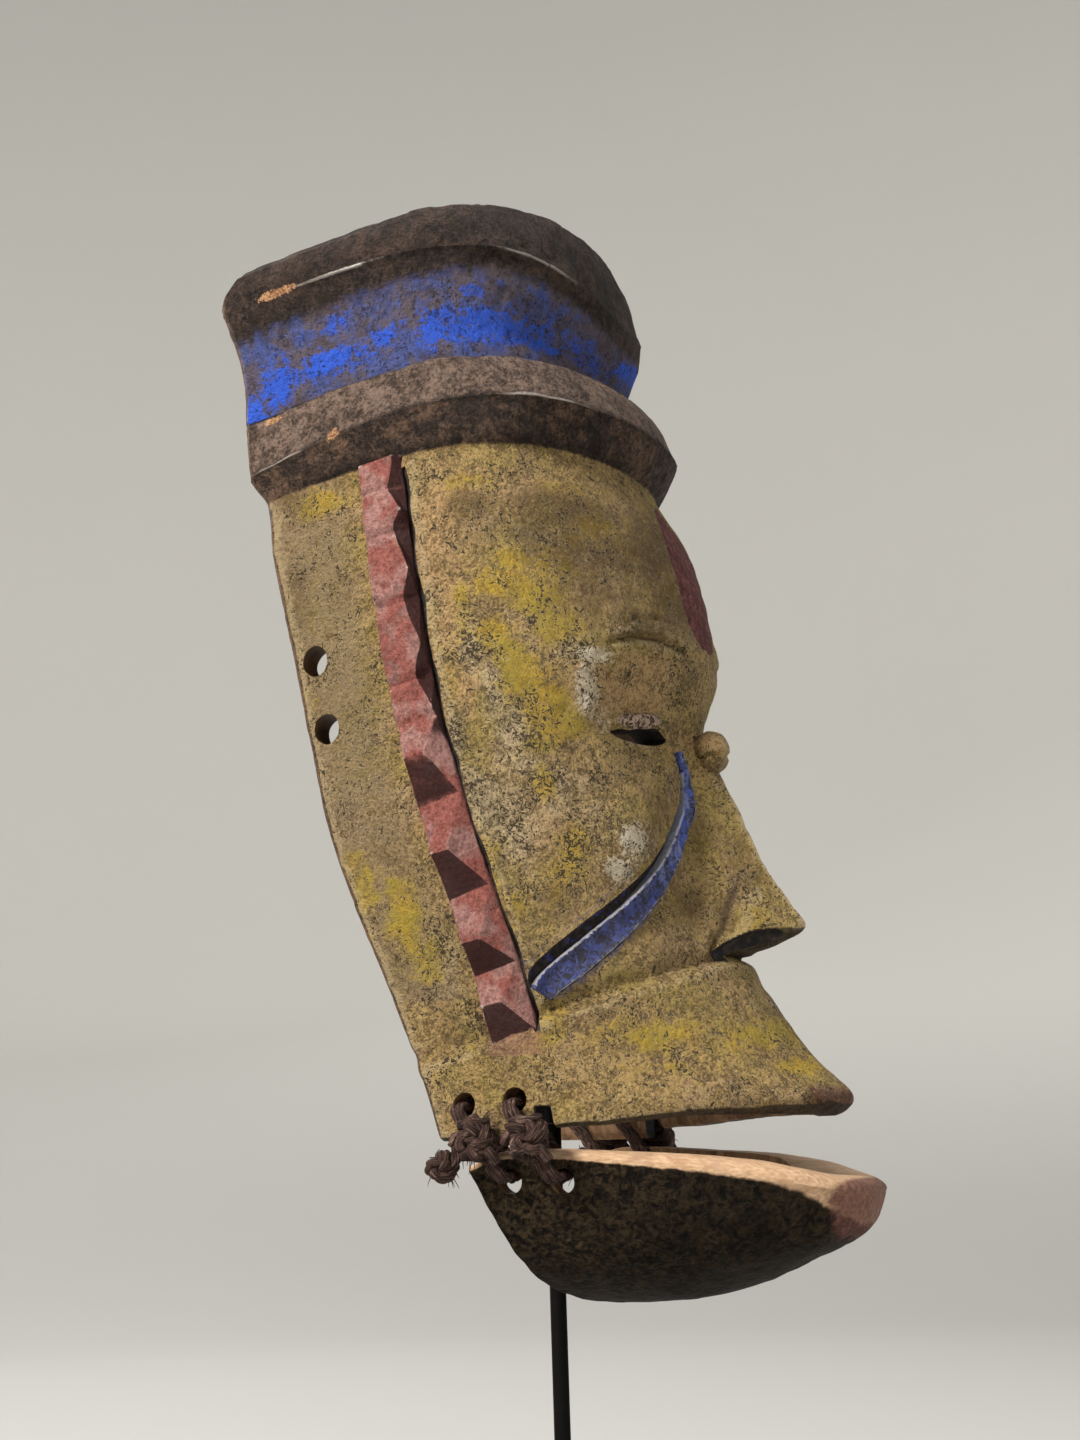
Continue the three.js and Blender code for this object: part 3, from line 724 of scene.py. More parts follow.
def hat_paint(p, colours, look, level, ragged):
    """The hat's browns, with painted light on the upward face above the lower ridge, the blue
    between its ridges and the glint along them.
    """
    _, patch, middle, fine, grain, turned = look
    tone = p.noise(1.15, 5, 0.72) * 1.1 + grain * 0.9 + p.noise(3.4, 5, 0.68) * 1.3
    tone = tone + patch * 0.6 + 0.5
    lit_brown = tone.shades(0.22, 0.8, (0.050, 0.032, 0.024), (0.30, 0.205, 0.155))
    warm_brown = tone.shades(0.3, 0.8, (0.030, 0.018, 0.012), (0.22, 0.13, 0.080))
    wobbly = level + ragged * 0.6
    above = wobbly.step(LOWER_RIDGE, LOWER_RIDGE + 2) * wobbly.step(BLUE_LOW + 0.6, BLUE_LOW - 0.4)
    below = (level + ragged * 0.5).step(LOWER_RIDGE, LOWER_RIDGE - 0.8)
    below = below * (patch + middle).step(-0.1, 0.15)
    zone = (level + ragged * 0.8).step(BLUE_LOW, BLUE_LOW + 0.5)
    zone = zone * (level + ragged * 9).step(BLUE_HIGH + 0.5, BLUE_HIGH - 5)
    haze = zone * (p.noise(3.5, 5, 0.75).step(-0.18, 0.12) * 0.5 + 0.42)
    haze_blue = p.noise(9, 4, 0.65).shades(-0.08, 0.1, (0.135, 0.108, 0.135), (0.085, 0.115, 0.33))
    bright = p.attribute("blue_patch") + p.noise(4.5, 5, 0.7) * 1.8 + fine * 1.8 + grain * 1.4
    spots = (p.noise(1.15, 3, 0.65, warp=0.8) + p.noise(8, 3, 0.5, turned) * 0.25).step(0.06, 0.13)
    line = (level - LOWER_RIDGE - 0.3).size().least((level - UPPER_RIDGE).size()) + fine * 0.6
    shine = line.step(0.55, 0.2) * (p.attribute("ridge_light") + middle * 1.2).step(0.3, 0.7)
    seam = (level - BLUE_LOW - 0.1 + ragged * 0.5).size().step(0.75, 0.25)
    colour = p.coats(
        tone.shades(0.2, 0.9, (0.0095, 0.0062, 0.0050), (0.100, 0.061, 0.044)),
        (p.noise(11, 4).step(-0.08, 0.18) * 0.5, (0.026, 0.015, 0.010)),
        (below * 0.7, warm_brown),
        # painted light: the upward face above the lower ridge gets a lighter, lit copy of the brown
        (above * 0.9, lit_brown),
        (haze, haze_blue),
        (bright.step(0.3, 0.75) * zone * 0.94, tuple(colours.blue)),
        (spots * zone * 0.75, (0.020, 0.018, 0.034)),
        (shine * 0.6, (0.50, 0.44, 0.38)),
        (seam * 0.85, (0.014, 0.010, 0.010)),
    )
    return colour, shine


def face_paint(colours):
    """All the mask's own paint: the face, the hat, the strip, the lip, and what wore them off, with
    painted shade and painted highlights.
    """
    p = Paint("face_paint")
    turned = p.stretched((1, 1, 1), (1.1, 0.4, 0.7))
    broad, patch = p.noise(26, 3), p.noise(15, 4, 0.6, turned)
    middle, fine, grain = p.noise(6, 5, 0.62), p.noise(1.7, 5, 0.7), p.noise(0.75, 4, 0.75)
    look = (broad, patch, middle, fine, grain, turned)
    ragged = p.noise(3.6, 5, 0.7)
    tone = fine * 1.9 + grain * 2.0 + middle * 1.1 + 0.53
    level, edge = p.attribute("level"), p.attribute("edge")
    ochre, dark, polish_and_highlight, gloss_and_highlight = ochre_paint(p, colours, look, tone)
    hat, shine = hat_paint(p, colours, look, level, ragged)

    on_hat = (level + ragged * 1.2).step(FACE_EDGE - 0.3, FACE_EDGE + 0.7)
    in_strip = (p.attribute("strip") + ragged * 0.9).step(-0.3, 0.3)
    strip_pits = (fine + grain * 0.4).step(-0.06, 0.04)
    red = tone.shades(0.2, 0.75, (0.15, 0.040, 0.036), (0.38, 0.135, 0.122))
    red = p.mix(strip_pits * 0.8, red, (0.040, 0.012, 0.012))
    tip_red = tone.shades(0.3, 0.7, (0.075, 0.026, 0.020), (0.19, 0.085, 0.062))
    raw_wood = tone.shades(0.25, 0.75, (0.26, 0.11, 0.05), (0.62, 0.35, 0.17))
    edge_wood = tone.shades(0.2, 0.8, (0.045, 0.024, 0.014), (0.20, 0.11, 0.058))
    stain = (p.attribute("band") + ragged * 2.6).step(-2.6, 0.2) * (1 - on_hat)
    tinged = (p.attribute("beside_rib").size() + ragged * 1.2 + fine).step(1.5, 1.0)
    raw = (p.attribute("chip") + fine * 1.3 + middle * 0.6).step(0.5, 0.68)
    # painted shade in the creases, hollows and inner corners, with real grime
    grime_and_shade = (p.attribute("grime_and_painted_shade") + fine * 0.7).step(0.3, 1.0).most(edge.step(-0.14, -0.34))
    rubbed = (edge + fine * 0.35).step(0.14, 0.32) * (1 - raw)
    colour = p.coats(
        ochre,
        (on_hat, hat),
        (in_strip, red),
        (stain * 0.5, (0.33, 0.155, 0.105)),
        ((p.attribute("lip") + ragged * 3.5).step(-2, 2.5) * 0.85, tip_red),
        (tinged * 0.55, (0.13, 0.145, 0.30)),
        (raw * 0.92, raw_wood),
        (grime_and_shade * 0.72, (0.034, 0.022, 0.013)),
        (rubbed * (0.5 - on_hat * 0.3), (0.46, 0.35, 0.24)),
        ((p.attribute("back_edge") + ragged * 0.6).step(0.35, 0.65), edge_wood),
        # painted shade under the nose and under the rim, on faces turned down
        ((p.attribute("painted_shade_below") + ragged * 0.6).step(-0.5, 0.5) * 0.85, (0.030, 0.020, 0.014)),
    )
    rough = 0.6 - polish_and_highlight * 0.26 - gloss_and_highlight * 0.12 - rubbed * 0.12 + dark * 0.15 - shine * 0.25
    rough = rough + in_strip * 0.06 + middle * 0.2 + on_hat * 0.06
    height = fine * 3.0 + grain - dark * 1.6 + middle * 1.6 - raw * 0.3
    height = height + p.noise(1.3, 4, 0.72) * 1.2 * on_hat - strip_pits * in_strip * 0.5
    coat = {"Coat Weight": polish_and_highlight * 0.8 * (1 - on_hat) + shine * 0.2, "Coat Roughness": 0.25}
    return p.finish(colour, rough, height, specular=0.2, **coat)


def band_paint(colours):
    """Red-brown paint on the notched bands, worn pale along the edges; painted shade darkens the
    facets turned down or ahead and the inner corners, and a painted highlight runs along the edges.
    """
    p = Paint("band_paint")
    fine, grain, ragged = p.noise(1.5, 5, 0.7), p.noise(0.7, 4, 0.75), p.noise(2.6, 5, 0.7)
    edge = p.attribute("edge")
    tone = fine * 1.3 + grain * 1.3 + 0.5
    worn = (edge + ragged * 0.35).step(0.1, 0.26)
    # a painted highlight along the convex edges
    edge_highlight = edge.step(0.07, 0.13) * (p.noise(6, 3) + fine * 0.5).step(-0.06, 0.06)
    colour = p.coats(
        tone.shades(0.15, 0.8, (0.12, 0.032, 0.026), tuple(colours.red)),
        (p.noise(9, 3).step(-0.04, 0.1) * 0.8,
         tone.shades(0.2, 0.75, (0.20, 0.095, 0.080), (0.39, 0.225, 0.200))),
        (p.noise(4.5, 4, 0.65).step(0.02, 0.14) * 0.45, (0.10, 0.046, 0.038)),
        ((grain + ragged * 0.3).step(0.12, 0.2) * 0.7, (0.060, 0.018, 0.015)),
        (worn * 0.6, (0.52, 0.355, 0.29)),
        # painted shade on the facets that face down or ahead
        (p.attribute("painted_shade_turned_away").step(0.22, 0.55) * 0.9, (0.021, 0.0070, 0.0065)),
        (edge_highlight * 0.75, (0.60, 0.46, 0.41)),
        # painted shade in the inner corners
        (edge.step(-0.08, -0.22) * 0.85, (0.022, 0.010, 0.009)),
    )
    return p.finish(colour, 0.58 - worn * 0.14, fine * 1.2 + grain * 0.5, specular=0.12)


def rib_paint():
    """Chalky blue on the thin ribs, with dark wood showing through and pale rubbed edges."""
    p = Paint("rib_paint")
    fine, grain = p.noise(1.3, 5, 0.72), p.noise(0.7, 4, 0.75)
    across_it = p.attribute("beside_rib").size()
    low = p.axis("Z").step(258, 236)
    flecks = (p.noise(1.7, 3, 0.6, warp=1.2) + low * 0.04 + p.noise(5, 3) * 0.4).step(0.02, 0.1)
    rubbed = (across_it + fine * 0.8).step(0.84, 0.93) * across_it.step(1.12, 0.98)
    colour = p.coats(
        p.noise(3, 4, 0.7).shades(-0.08, 0.08, (0.046, 0.054, 0.13), (0.050, 0.080, 0.34)),
        (p.noise(6, 4).step(-0.02, 0.12) * (0.8 - low * 0.5), (0.175, 0.195, 0.30)),
        (low * 0.62, (0.017, 0.019, 0.066)),
        (flecks * 0.9, (0.013, 0.011, 0.015)),
        (rubbed * 0.6, (0.36, 0.345, 0.33)),
    )
    return p.finish(colour, 0.575 + fine * 0.25 - rubbed * 0.12, fine * 0.5 + grain * 0.2)


def groove_shade_paint():
    """Dark wood painted near black as painted shade in the grooves and cuts, with blue flecks
    beside the ribs.
    """
    p = Paint("groove_shade_paint")
    # near black: painted shade in the grooves and cuts
    dark = p.noise(1.8, 5, 0.7).shades(-0.08, 0.18, (0.0045, 0.0035, 0.003), (0.034, 0.023, 0.017))
    blue = p.noise(3.2, 4, 0.65).step(0.04, 0.12) * p.axis("Z").step(290, 280)
    blue = blue * p.axis("X").step(57, 53) * p.attribute("band").step(-1.5, -3)
    colour = p.mix(blue * 0.8, dark, (0.026, 0.034, 0.14))
    return p.finish(colour, 0.75, p.noise(1.2, 4) * 0.25)


def hollow_wood():
    """Bare gouged wood inside, tan where it is clean and brown where smoke and hands have been."""
    p = Paint("hollow_wood")
    grain = p.noise(1.1, 5, 0.62, p.stretched((1, 1, 0.12)), warp=0.5)
    rings = p.noise(5, 4, 0.55, p.stretched((1, 1, 0.1)), warp=0.8)
    smoke = p.noise(45, 4, 0.6).step(-0.12, 0.16) * 0.7 + p.axis("Z").step(215, 262) * 0.5
    colour = p.coats(
        rings.shades(-0.2, 0.2, (0.20, 0.105, 0.048), (0.42, 0.245, 0.12)),
        (grain.step(-0.02, 0.16) * 0.6, (0.095, 0.048, 0.024)),
        (smoke.least(0.9), (0.045, 0.028, 0.018)),
    )
    return p.finish(colour, 0.66 + grain * 0.2, grain * 0.3 + rings * 0.2)


def jaw_wood():
    """Almost black, pitted wood with brown mottling painted lighter towards the top and the back as
    painted light, a pale worn rim and a reddened tip.
    """
    p = Paint("jaw_wood")
    fine, grain, ragged = p.noise(1.5, 5, 0.7), p.noise(0.8, 4, 0.72), p.noise(5, 5, 0.7)
    pits = p.noise(2.6, 4, 0.62, warp=0.8)
    x, z = p.axis("X"), p.axis("Z")
    lit = (pits * 0.5 + fine * 0.6 + grain * 0.3).step(-0.08, 0.16)
    # painted light: the mottling grows lighter towards the top
    lit = lit * (z.step(126, 152) * 0.75 + 0.25)
    lit = lit * (p.noise(16, 4).step(-0.1, 0.16) * 0.4 + x.step(70, 10) * 0.5 + 0.2)
    edge = (p.attribute("rim") + ragged * 0.3).step(0.3, 0.42)
    tan = p.noise(0.9, 4, 0.6, p.stretched((0.2, 1, 1))).shades(
        -0.18, 0.2, (0.37, 0.225, 0.128), (0.55, 0.375, 0.235))
    tan = p.mix(p.noise(12, 4).step(0, 0.22) * 0.45, tan, (0.30, 0.20, 0.13))
    red = (p.attribute("tip") + ragged * 5).step(-1.5, 2.0) * (z + ragged * 12).step(141, 149)
    worn = (p.attribute("edge") + fine * 0.35).step(0.16, 0.4) * (1 - edge)
    colour = p.coats(
        pits.shades(-0.16, 0.12, (0.0018, 0.0013, 0.0009), (0.0150, 0.0098, 0.0050)),
        (lit, (0.072, 0.049, 0.026)),
        (edge, tan),
        (red * 0.9, fine.shades(-0.15, 0.15, (0.080, 0.032, 0.026), (0.19, 0.090, 0.068))),
        (worn * 0.35, (0.14, 0.092, 0.056)),
    )
    height = pits * (2.0 - edge * 1.8) + fine * (1.6 - edge * 1.3)
    return p.finish(colour, 0.62 + pits * 0.3 - edge * 0.08, height, specular=0.07)


def cord_fibre():
    """Twisted plant fibre, dark with handling."""
    p = Paint("cord_fibre")
    uv = p.node("ShaderNodeUVMap", {"uv_map": "UVMap"}, {})
    strands = p.node("ShaderNodeMapping", {}, {"Vector": uv, "Scale": (0.011, 0.16, 1)})
    fibre, lumps = p.noise(0.55, 4, 0.7, strands), p.noise(2.6, 4)
    colour = p.coats(
        fibre.shades(-0.14, 0.12, (0.007, 0.004, 0.003), (0.075, 0.039, 0.029)),
        (fibre.step(0, 0.14) * lumps.step(-0.04, 0.12) * 0.8, (0.30, 0.185, 0.150)),
        (p.noise(6, 3).step(0, 0.16) * 0.6, (0.018, 0.010, 0.008)),
    )
    return p.finish(colour, 0.82, fibre * 0.7 + lumps * 0.4, specular=0.2)


def black_steel():
    """Matte black lacquer on steel, lightly rubbed."""
    p = Paint("black_steel")
    rubbed = p.noise(16.8, 4).step(0, 0.25) * 0.5
    colour = p.mix(rubbed, (0.0035, 0.0034, 0.0034), (0.009, 0.0085, 0.0085))
    return p.finish(colour, 0.58 + p.noise(28, 3) * 0.18, p.noise(1.4, 3) * 0.03, specular=0.05)


def pale_wall():
    """Pale matte plaster, greyer towards the floor, and darker towards the far corner as a painted
    shadow.
    """
    p = Paint("pale_wall")
    # painted shadow, darker towards the far upper corner
    corner_shadow = p.axis("X").step(-100, 700) * p.axis("Z").step(150, 800)
    colour = p.coats(
        p.mix(p.noise(900, 3) + 0.5, (0.68, 0.67, 0.635), (0.73, 0.72, 0.685)),
        (corner_shadow * 0.6, (0.40, 0.392, 0.365)),
        (p.axis("Z").step(420, 20), (0.47, 0.462, 0.436)),
    )
    return p.finish(colour, 0.9)


# ---------------------------------------------------------------- settings


class MaskSettings(bpy.types.PropertyGroup):
    """Finish of the mask."""

    yellow: FloatVectorProperty(
        name="Yellow", description="The strongest yellow left on the face", subtype="COLOR",
        size=3, min=0, max=1, default=(0.50, 0.33, 0.035),
    )
    blue: FloatVectorProperty(
        name="Blue", description="The brightest blue on the hat and the ribs", subtype="COLOR",
        size=3, min=0, max=1, default=(0.030, 0.115, 0.70),
    )
    red: FloatVectorProperty(
        name="Red brown", description="Paint of the notched bands and the strip", subtype="COLOR",
        size=3, min=0, max=1, default=(0.31, 0.110, 0.088),
    )


class LashingSettings(bpy.types.PropertyGroup):
    """Size of the cord ties."""

    diameter: FloatProperty(
        name="Cord diameter", description="Thickness of the laid cord", unit="LENGTH",
        min=0.002, max=0.006, default=0.0033, precision=4,
    )
    fibres: IntProperty(
        name="Loose fibres", description="Loose fibre ends on each knot", min=0, max=120,
        default=70,
    )


class StandSettings(bpy.types.PropertyGroup):
    """Edges of the steel stand."""

    foot_bevel: FloatProperty(
        name="Foot bevel", description="Rounding of the foot's edges", unit="LENGTH",
        min=0.0002, max=0.004, default=0.0009, precision=4,
    )


class StageSettings(bpy.types.PropertyGroup):
    """Light of the studio."""

    key_power: FloatProperty(
        name="Key light", description="Power of the main light", subtype="POWER", min=0, max=200,
        default=46,
    )
    fill: FloatProperty(
        name="Room light", description="Strength of the light from all sides", subtype="FACTOR",
        min=0, max=2, default=0.25,
    )


# ---------------------------------------------------------------- the mask


def mask_block():
    """The carved block before it is hollowed, with the skin's grid for looking places up."""
    grid = mask_rows()
    walls = ring_back(grid[0], 26, 0.8)
    rim_rings = [shrunk(walls[0], 20, 1 - inset / 62)
                 for inset in (34, 24, 17, 12.5, 9, 6, 3.5, 1.6)]
    hat_rings = []
    for share in TOP_RINGS:
        ring = shrunk(walls[-1], HAT_MIDDLE_X, share, float(top_rise(share)))
        if share == 0:
            ring = pulled_together(ring)
        ring[:, 2] += 0.35 * uneven(ring, 14, 1.5) + 0.2 * uneven(ring, 5, 8.1) - 0.3
        hat_rings.append(ring)
    rows = np.stack([pulled_together(rim_rings[0]), *rim_rings, *walls, *hat_rings])
    rows[:, -1:] = rows[:, :1]
    return rows, grid


# The rings of the hat's flat top, as shares of its size.
TOP_RINGS = (0.985, 0.965, 0.94, 0.91, 0.87, 0.81, 0.73, 0.64, 0.54, 0.44, 0.33, 0.22, 0.11, 0)
# How far the hollow's cutter reaches out behind, and the rings of its ceiling: the share of the
# hollow's size and the rise above its top level.
HOLLOW_BEHIND = 30
CEILING_RINGS = [(0.985, 0.8), (0.96, 2), (0.91, 4.3), (0.86, 6), (0.75, 7.3), (0.6, 8), (0.4, 8.2),
                 (0.2, 8.3)]


def hollow_rows():
    """The gouged hollow as a solid to cut away, open downwards and to the back."""
    levels = np.concatenate([
        [RIM_HEIGHT - 16, RIM_HEIGHT - 4], np.arange(RIM_HEIGHT, 186, 0.9),
        np.arange(186, HOLLOW_TOP, 3.0), [HOLLOW_TOP],
    ])
    level, around = np.meshgrid(levels, np.linspace(-1, 1, 121), indexing="ij")
    plan_level = np.maximum(level, RIM_HEIGHT)
    x, y, _ = section(plan_level, around, WALL_SIDE, WALL_FRONT)
    flare = rounded(np.clip(level - RIM_HEIGHT - lip_rim(x), 0, 9), 3.0)
    x, y, _ = section(plan_level, around, WALL_SIDE - flare, WALL_FRONT - flare)
    point = np.stack([x, y, level + tilt(plan_level) * x], -1)
    gouges = scallops(point, (8, 8, 24), 2.6) - 0.45
    point += normals_of(point) * (0.9 * gouges + 0.5 * uneven(point, 20, 6.2))[..., None]
    round_back_edge(point, plan_level, around, HOLLOW_EDGE_RADIUS, 1)
    behind = np.zeros_like(point[:, :1])
    behind[..., 0] = HOLLOW_BEHIND
    behind[..., 2] = HOLLOW_BEHIND * tilt(plan_level[:, :1])
    walls = ring_back(np.concatenate([point[:, :1] - behind, point, point[:, -1:] - behind], 1), 4)
    ceiling = []
    for share, rise in CEILING_RINGS:
        ring = shrunk(walls[-1], HOLLOW_MIDDLE_X, share, rise)
        ring[:, 2] += 0.4 * uneven(ring, 12, 3.3)
        ceiling.append(ring)
    return capped([*walls, *ceiling])


def find_place(level, distance, side):
    """The place around the section where a distance across the view is reached."""
    places = np.linspace(0, ARC_SHARE, 600)
    x, y, _ = section(np.full(600, float(level)), places)
    return side * np.interp(distance, across(x, y)[::-1], places[::-1])


def on_skin(level, around, lift=0.0):
    """A carved point of the skin, lifted off it by some millimetres, and its normal."""
    levels = level + np.array([-0.6, 0, 0.6])
    places = around + np.array([-0.004, 0, 0.004])
    point, normal = carved_skin(*np.meshgrid(levels, places, indexing="ij"))
    return point[1, 1] + normal[1, 1] * lift, normal[1, 1]


def skin_at_y(y, z):
    """The skin's point at a height and a distance from the middle, on the front."""
    low, high = 0.0, ARC_SHARE
    for _ in range(24):
        middle = (low + high) / 2
        point, _ = on_skin(z, middle)
        if abs(point[1]) < abs(y):
            low = middle
        else:
            high = middle
    return on_skin(z, math.copysign(middle, y))


def skin_at_x(x, z, side, lift=0.0):
    """The skin's point at a height and an x, on the side."""
    level = z - float(tilt(z)) * x
    places = np.linspace(0, 1, 500)
    ring_x, _, _ = section(np.full(500, level), places)
    return on_skin(level, side * np.interp(-x, -ring_x, places), lift)


def side_at(x, level):
    """Half the width of the plain section at an x."""
    ring_x, ring_y, _ = section(np.full(400, float(level)), np.linspace(0, 1, 400))
    return float(np.interp(-x, -ring_x, ring_y))


def cross_hole(name, place, radius, material, seed):
    """A hand-drilled hole through both side walls, with a slightly uneven bore."""
    x, z = place
    half = np.array([48, 54, 57, 63, 66, 78, 84], float)
    across_it = np.concatenate([-half[::-1], half])
    path = np.stack([np.full(14, x), across_it, np.full(14, z)], 1)
    rows = tube_rows(path, radius, 28)
    rows[..., 0] += 0.35 * uneven(rows, 5, seed)
    rows[..., 2] += 0.35 * uneven(rows, 5, seed + 3)
    return new_object(name, skin_mesh(rows), [material])


def eye_cut(side, material):
    """The almond slit of an eye: its outline lies on the skin and is pushed straight in."""
    t = np.linspace(-1, 1, 33)
    ragged = 0.25 * np.sin(9 * t + 1) * (1 - t**2)
    upper = np.stack([t, eye_upper(t) + ragged], 1)
    lower = np.stack([t[::-1], eye_lower(t[::-1])], 1)[1:]
    outline = np.concatenate([upper, lower])
    outline[-1] = outline[0]
    ring = []
    for along, height in outline:
        z = EYE_HEIGHT + height
        ring.append(on_skin(z, find_place(z, EYE_ACROSS + along * EYE_HALF_LENGTH, side))[0])
    ring = np.array(ring)
    centre = ring.mean(0)
    _, out = on_skin(EYE_HEIGHT, find_place(EYE_HEIGHT, EYE_ACROSS, side))
    out = out * np.array([1, 1, 0.0])
    out /= np.linalg.norm(out)
    rows = [centre + (ring - centre) * np.array([1, 1, scale]) + out * depth
            for depth, scale in ((7, 1.3), (1.2, 1.1), (0.2, 1), (-5, 0.95), (-26, 0.8))]
    return new_object("eye_cut", skin_mesh(capped(rows)), [material])


NOSTRIL_PATH = [(55.5, 14.6, 225.6), (60, 11.6, 227.0), (66.5, 8.0, 229.3), (72.5, 5.2, 230.8),
                (77, 3.4, 231.8)]


def nostril_cut(side, material):
    """The long slot under the wing of the nose."""
    path = [(x, side * y, z) for x, y, z in NOSTRIL_PATH]
    line = resample(path, 0.8)
    radius = 0.5 + 3.1 * np.sin(np.linspace(0.25, np.pi - 0.12, len(line))) ** 0.7
    return new_object("nostril_cut", skin_mesh(tube_rows(line, radius, 16)), [material])


# Rings of the notched band from the top down: height, how far the ridge stands out, and where
# its flat top ends to the right, from -1 at the band's left edge to 1 at its right.
BAND_RINGS = [
    (368.6, 1.7, 0.7), (366, 2.9, 0.7), (361.8, 3.1, 0.5), (359.6, 2.3, 0.3), (358.2, 3.4, 0.4),
    (351.5, 4.0, 0.92), (347.6, 3.7, 0.5), (345.8, 2.7, 0.42), (344.6, 3.5, 0.5),
    (333.5, 4.3, 0.95), (326.6, 3.9, 0.5), (324.6, 2.8, 0.42), (323.2, 3.6, 0.5),
    (311.5, 4.4, 0.96), (304.4, 4.0, 0.5), (302.2, 2.6, 0.4), (300.8, 3.5, 0.5), (294, 3.9, 0.85),
    (291.0, 2.9, 0.9), (281.5, 5.2, 0.1), (268.8, 1.3, 0.9), (254.5, 5.5, -0.08),
    (243.2, 1.1, 0.9), (230.0, 5.5, -0.06), (222.2, 1.1, 0.9), (213.0, 5.0, 0.0),
    (204.8, 0.8, 0.85), (203.4, 0.2, 0.8),
]
# Heights at which the groove beside the band widens into a notch.
BAND_WEDGES = [359.6, 345.8, 324.6, 302.2, 279, 252, 228, 211]


def notched_band(side, material):
    """A ridge of flat tiles that turn into faceted teeth lower down."""
    rings = []
    for height, out, right in BAND_RINGS[::-1]:
        middle = float(band_x(height))
        level = height - float(tilt(height)) * middle
        slant = 1.9 if height < 292 and out < 2 else 1.1
        ring = []
        for share, reach, lift in ((-1, -4, -slant), (-1, out * 0.6, -slant), (-0.9, out, -slant),
                                   (right, out, slant * right), (1, out * 0.1, slant),
                                   (1, -4, slant)):
            x = middle + share * BAND_HALF_WIDTH
            ring.append((x, side * (side_at(x, level) + reach), height + lift))
        rings.append(ring + ring[:1])
    bm = skin_mesh(capped(np.array(rings)))
    bmesh.ops.triangulate(bm, faces=bm.faces[:])
    sharp = [e for e in bm.edges
             if len(e.link_faces) == 2 and e.calc_face_angle(0) > math.radians(9)]
    bmesh.ops.bevel(bm, geom=sharp, offset=0.32 * MM, offset_type="OFFSET", affect="EDGES",
                    segments=2, profile=0.5, material=-1, clamp_overlap=True)
    bmesh.ops.triangulate(bm, faces=bm.faces[:])
    for _ in range(3):
        long = [e for e in bm.edges if e.calc_length() > 1.7 * MM]
        bmesh.ops.subdivide_edges(bm, edges=long, cuts=1, use_grid_fill=False)
        bmesh.ops.triangulate(bm, faces=bm.faces[:])
    for vert in bm.verts:
        place = vert.co / MM
        lift = 0.3 * noise.noise(place / 6 + Vector((3, 1, 4))) + 0.2 * noise.noise(place / 2.3)
        vert.co.y += side * lift * MM
        vert.co.x += 0.25 * noise.noise(place / 5 + Vector((9, 2, 6))) * MM
    return new_object("notched_band", bm, [material])


def band_groove(side, material):
    """The undercut groove along the front of the notched band."""
    path = []
    for height in np.linspace(BAND_TOP - 1, BAND_FOOT + 1, 40):
        x = float(band_x(height)) + BAND_HALF_WIDTH + 0.5
        path.append(skin_at_x(x, float(height), side, 0.2)[0])
    z = np.array(path)[:, 2]
    wedge = np.max([hump(z - height, 4.5) for height in BAND_WEDGES], axis=0)
    radius = 0.75 + 0.95 * wedge + 0.3 * np.array([noise.noise((0, 0, place / 9)) for place in z])
    return new_object("band_groove", skin_mesh(tube_rows(path, radius, 8)), [material])


def rib_line(side):
    """Points along the rib with the skin's normal, the way across and the half width there."""
    path = np.array([skin_at_y(side * y, z)[0] for y, z, _ in RIB_PATH])
    place = travelled(path)
    line = np.array([skin_at_y(y, z)[0] for _, y, z in resample(path, 0.9)])
    normal = np.array([skin_at_y(y, z)[1] for _, y, z in line])
    half = np.interp(np.linspace(0, place[-1], len(line)), place, [w for _, _, w in RIB_PATH])
    for _ in range(6):
        normal[1:-1] = (normal[:-2] + normal[1:-1] + normal[2:]) / 3
        line[1:-1] = (line[:-2] + line[1:-1] * 2 + line[2:]) / 4
    normal /= np.linalg.norm(normal, axis=1, keepdims=True)
    across_it = np.cross(np.gradient(line, axis=0), normal) * side
    across_it /= np.linalg.norm(across_it, axis=1, keepdims=True)
    return line, normal, across_it, half


def swept(lines, outline):
    """A closed outline of (across in half widths, up in mm) carried along the rib."""
    rows = [[place + across_it * u * half + normal * v for u, v in outline + outline[:1]]
            for place, normal, across_it, half in zip(*lines)]
    return skin_mesh(capped(np.array(rows)))


RIB_BAR = [(-1, -3), (-1, 0.35), (-0.84, 0.85), (-0.6, 0.55), (-0.3, 0.28), (0, 0.2), (0.3, 0.28),
           (0.6, 0.55), (0.84, 0.9), (1, 0.4), (1, -3)]
RIB_CHANNEL = [(-1.95, 3), (-1.85, -0.2), (-1.5, -1.7), (-1.1, -2.1), (0.9, -1.8), (1.06, -0.9),
               (1.12, 3)]


def rib_parts(lines, rib, groove_shade):
    """What cuts the channel for a rib, and the rib itself with its tool marks."""
    bar = swept(lines, RIB_BAR)
    for vert in bar.verts:
        vert.co += Vector(noise.noise_vector(vert.co / MM / 2.4)) * 0.28 * MM
    channel = new_object("rib_channel", swept(lines, RIB_CHANNEL), [groove_shade])
    return channel, new_object("rib", bar, [rib])


def crack_cut(material):
    """The drying crack down the front of the hat's top band."""
    path = []
    for i, level in enumerate(np.linspace(447, 429, 10)):
        place = -0.285 + 0.006 * math.sin(i * 1.9)
        point, _ = on_skin(min(level, HAT_TOP - 1), place, 0.1)
        point[2] += max(level - HAT_TOP, 0)
        path.append(point)
    radius = np.interp(np.arange(10), [0, 3, 9], [0.75, 0.6, 0.15])
    return new_object("crack_cut", skin_mesh(tube_rows(path, radius, 6)), [material])


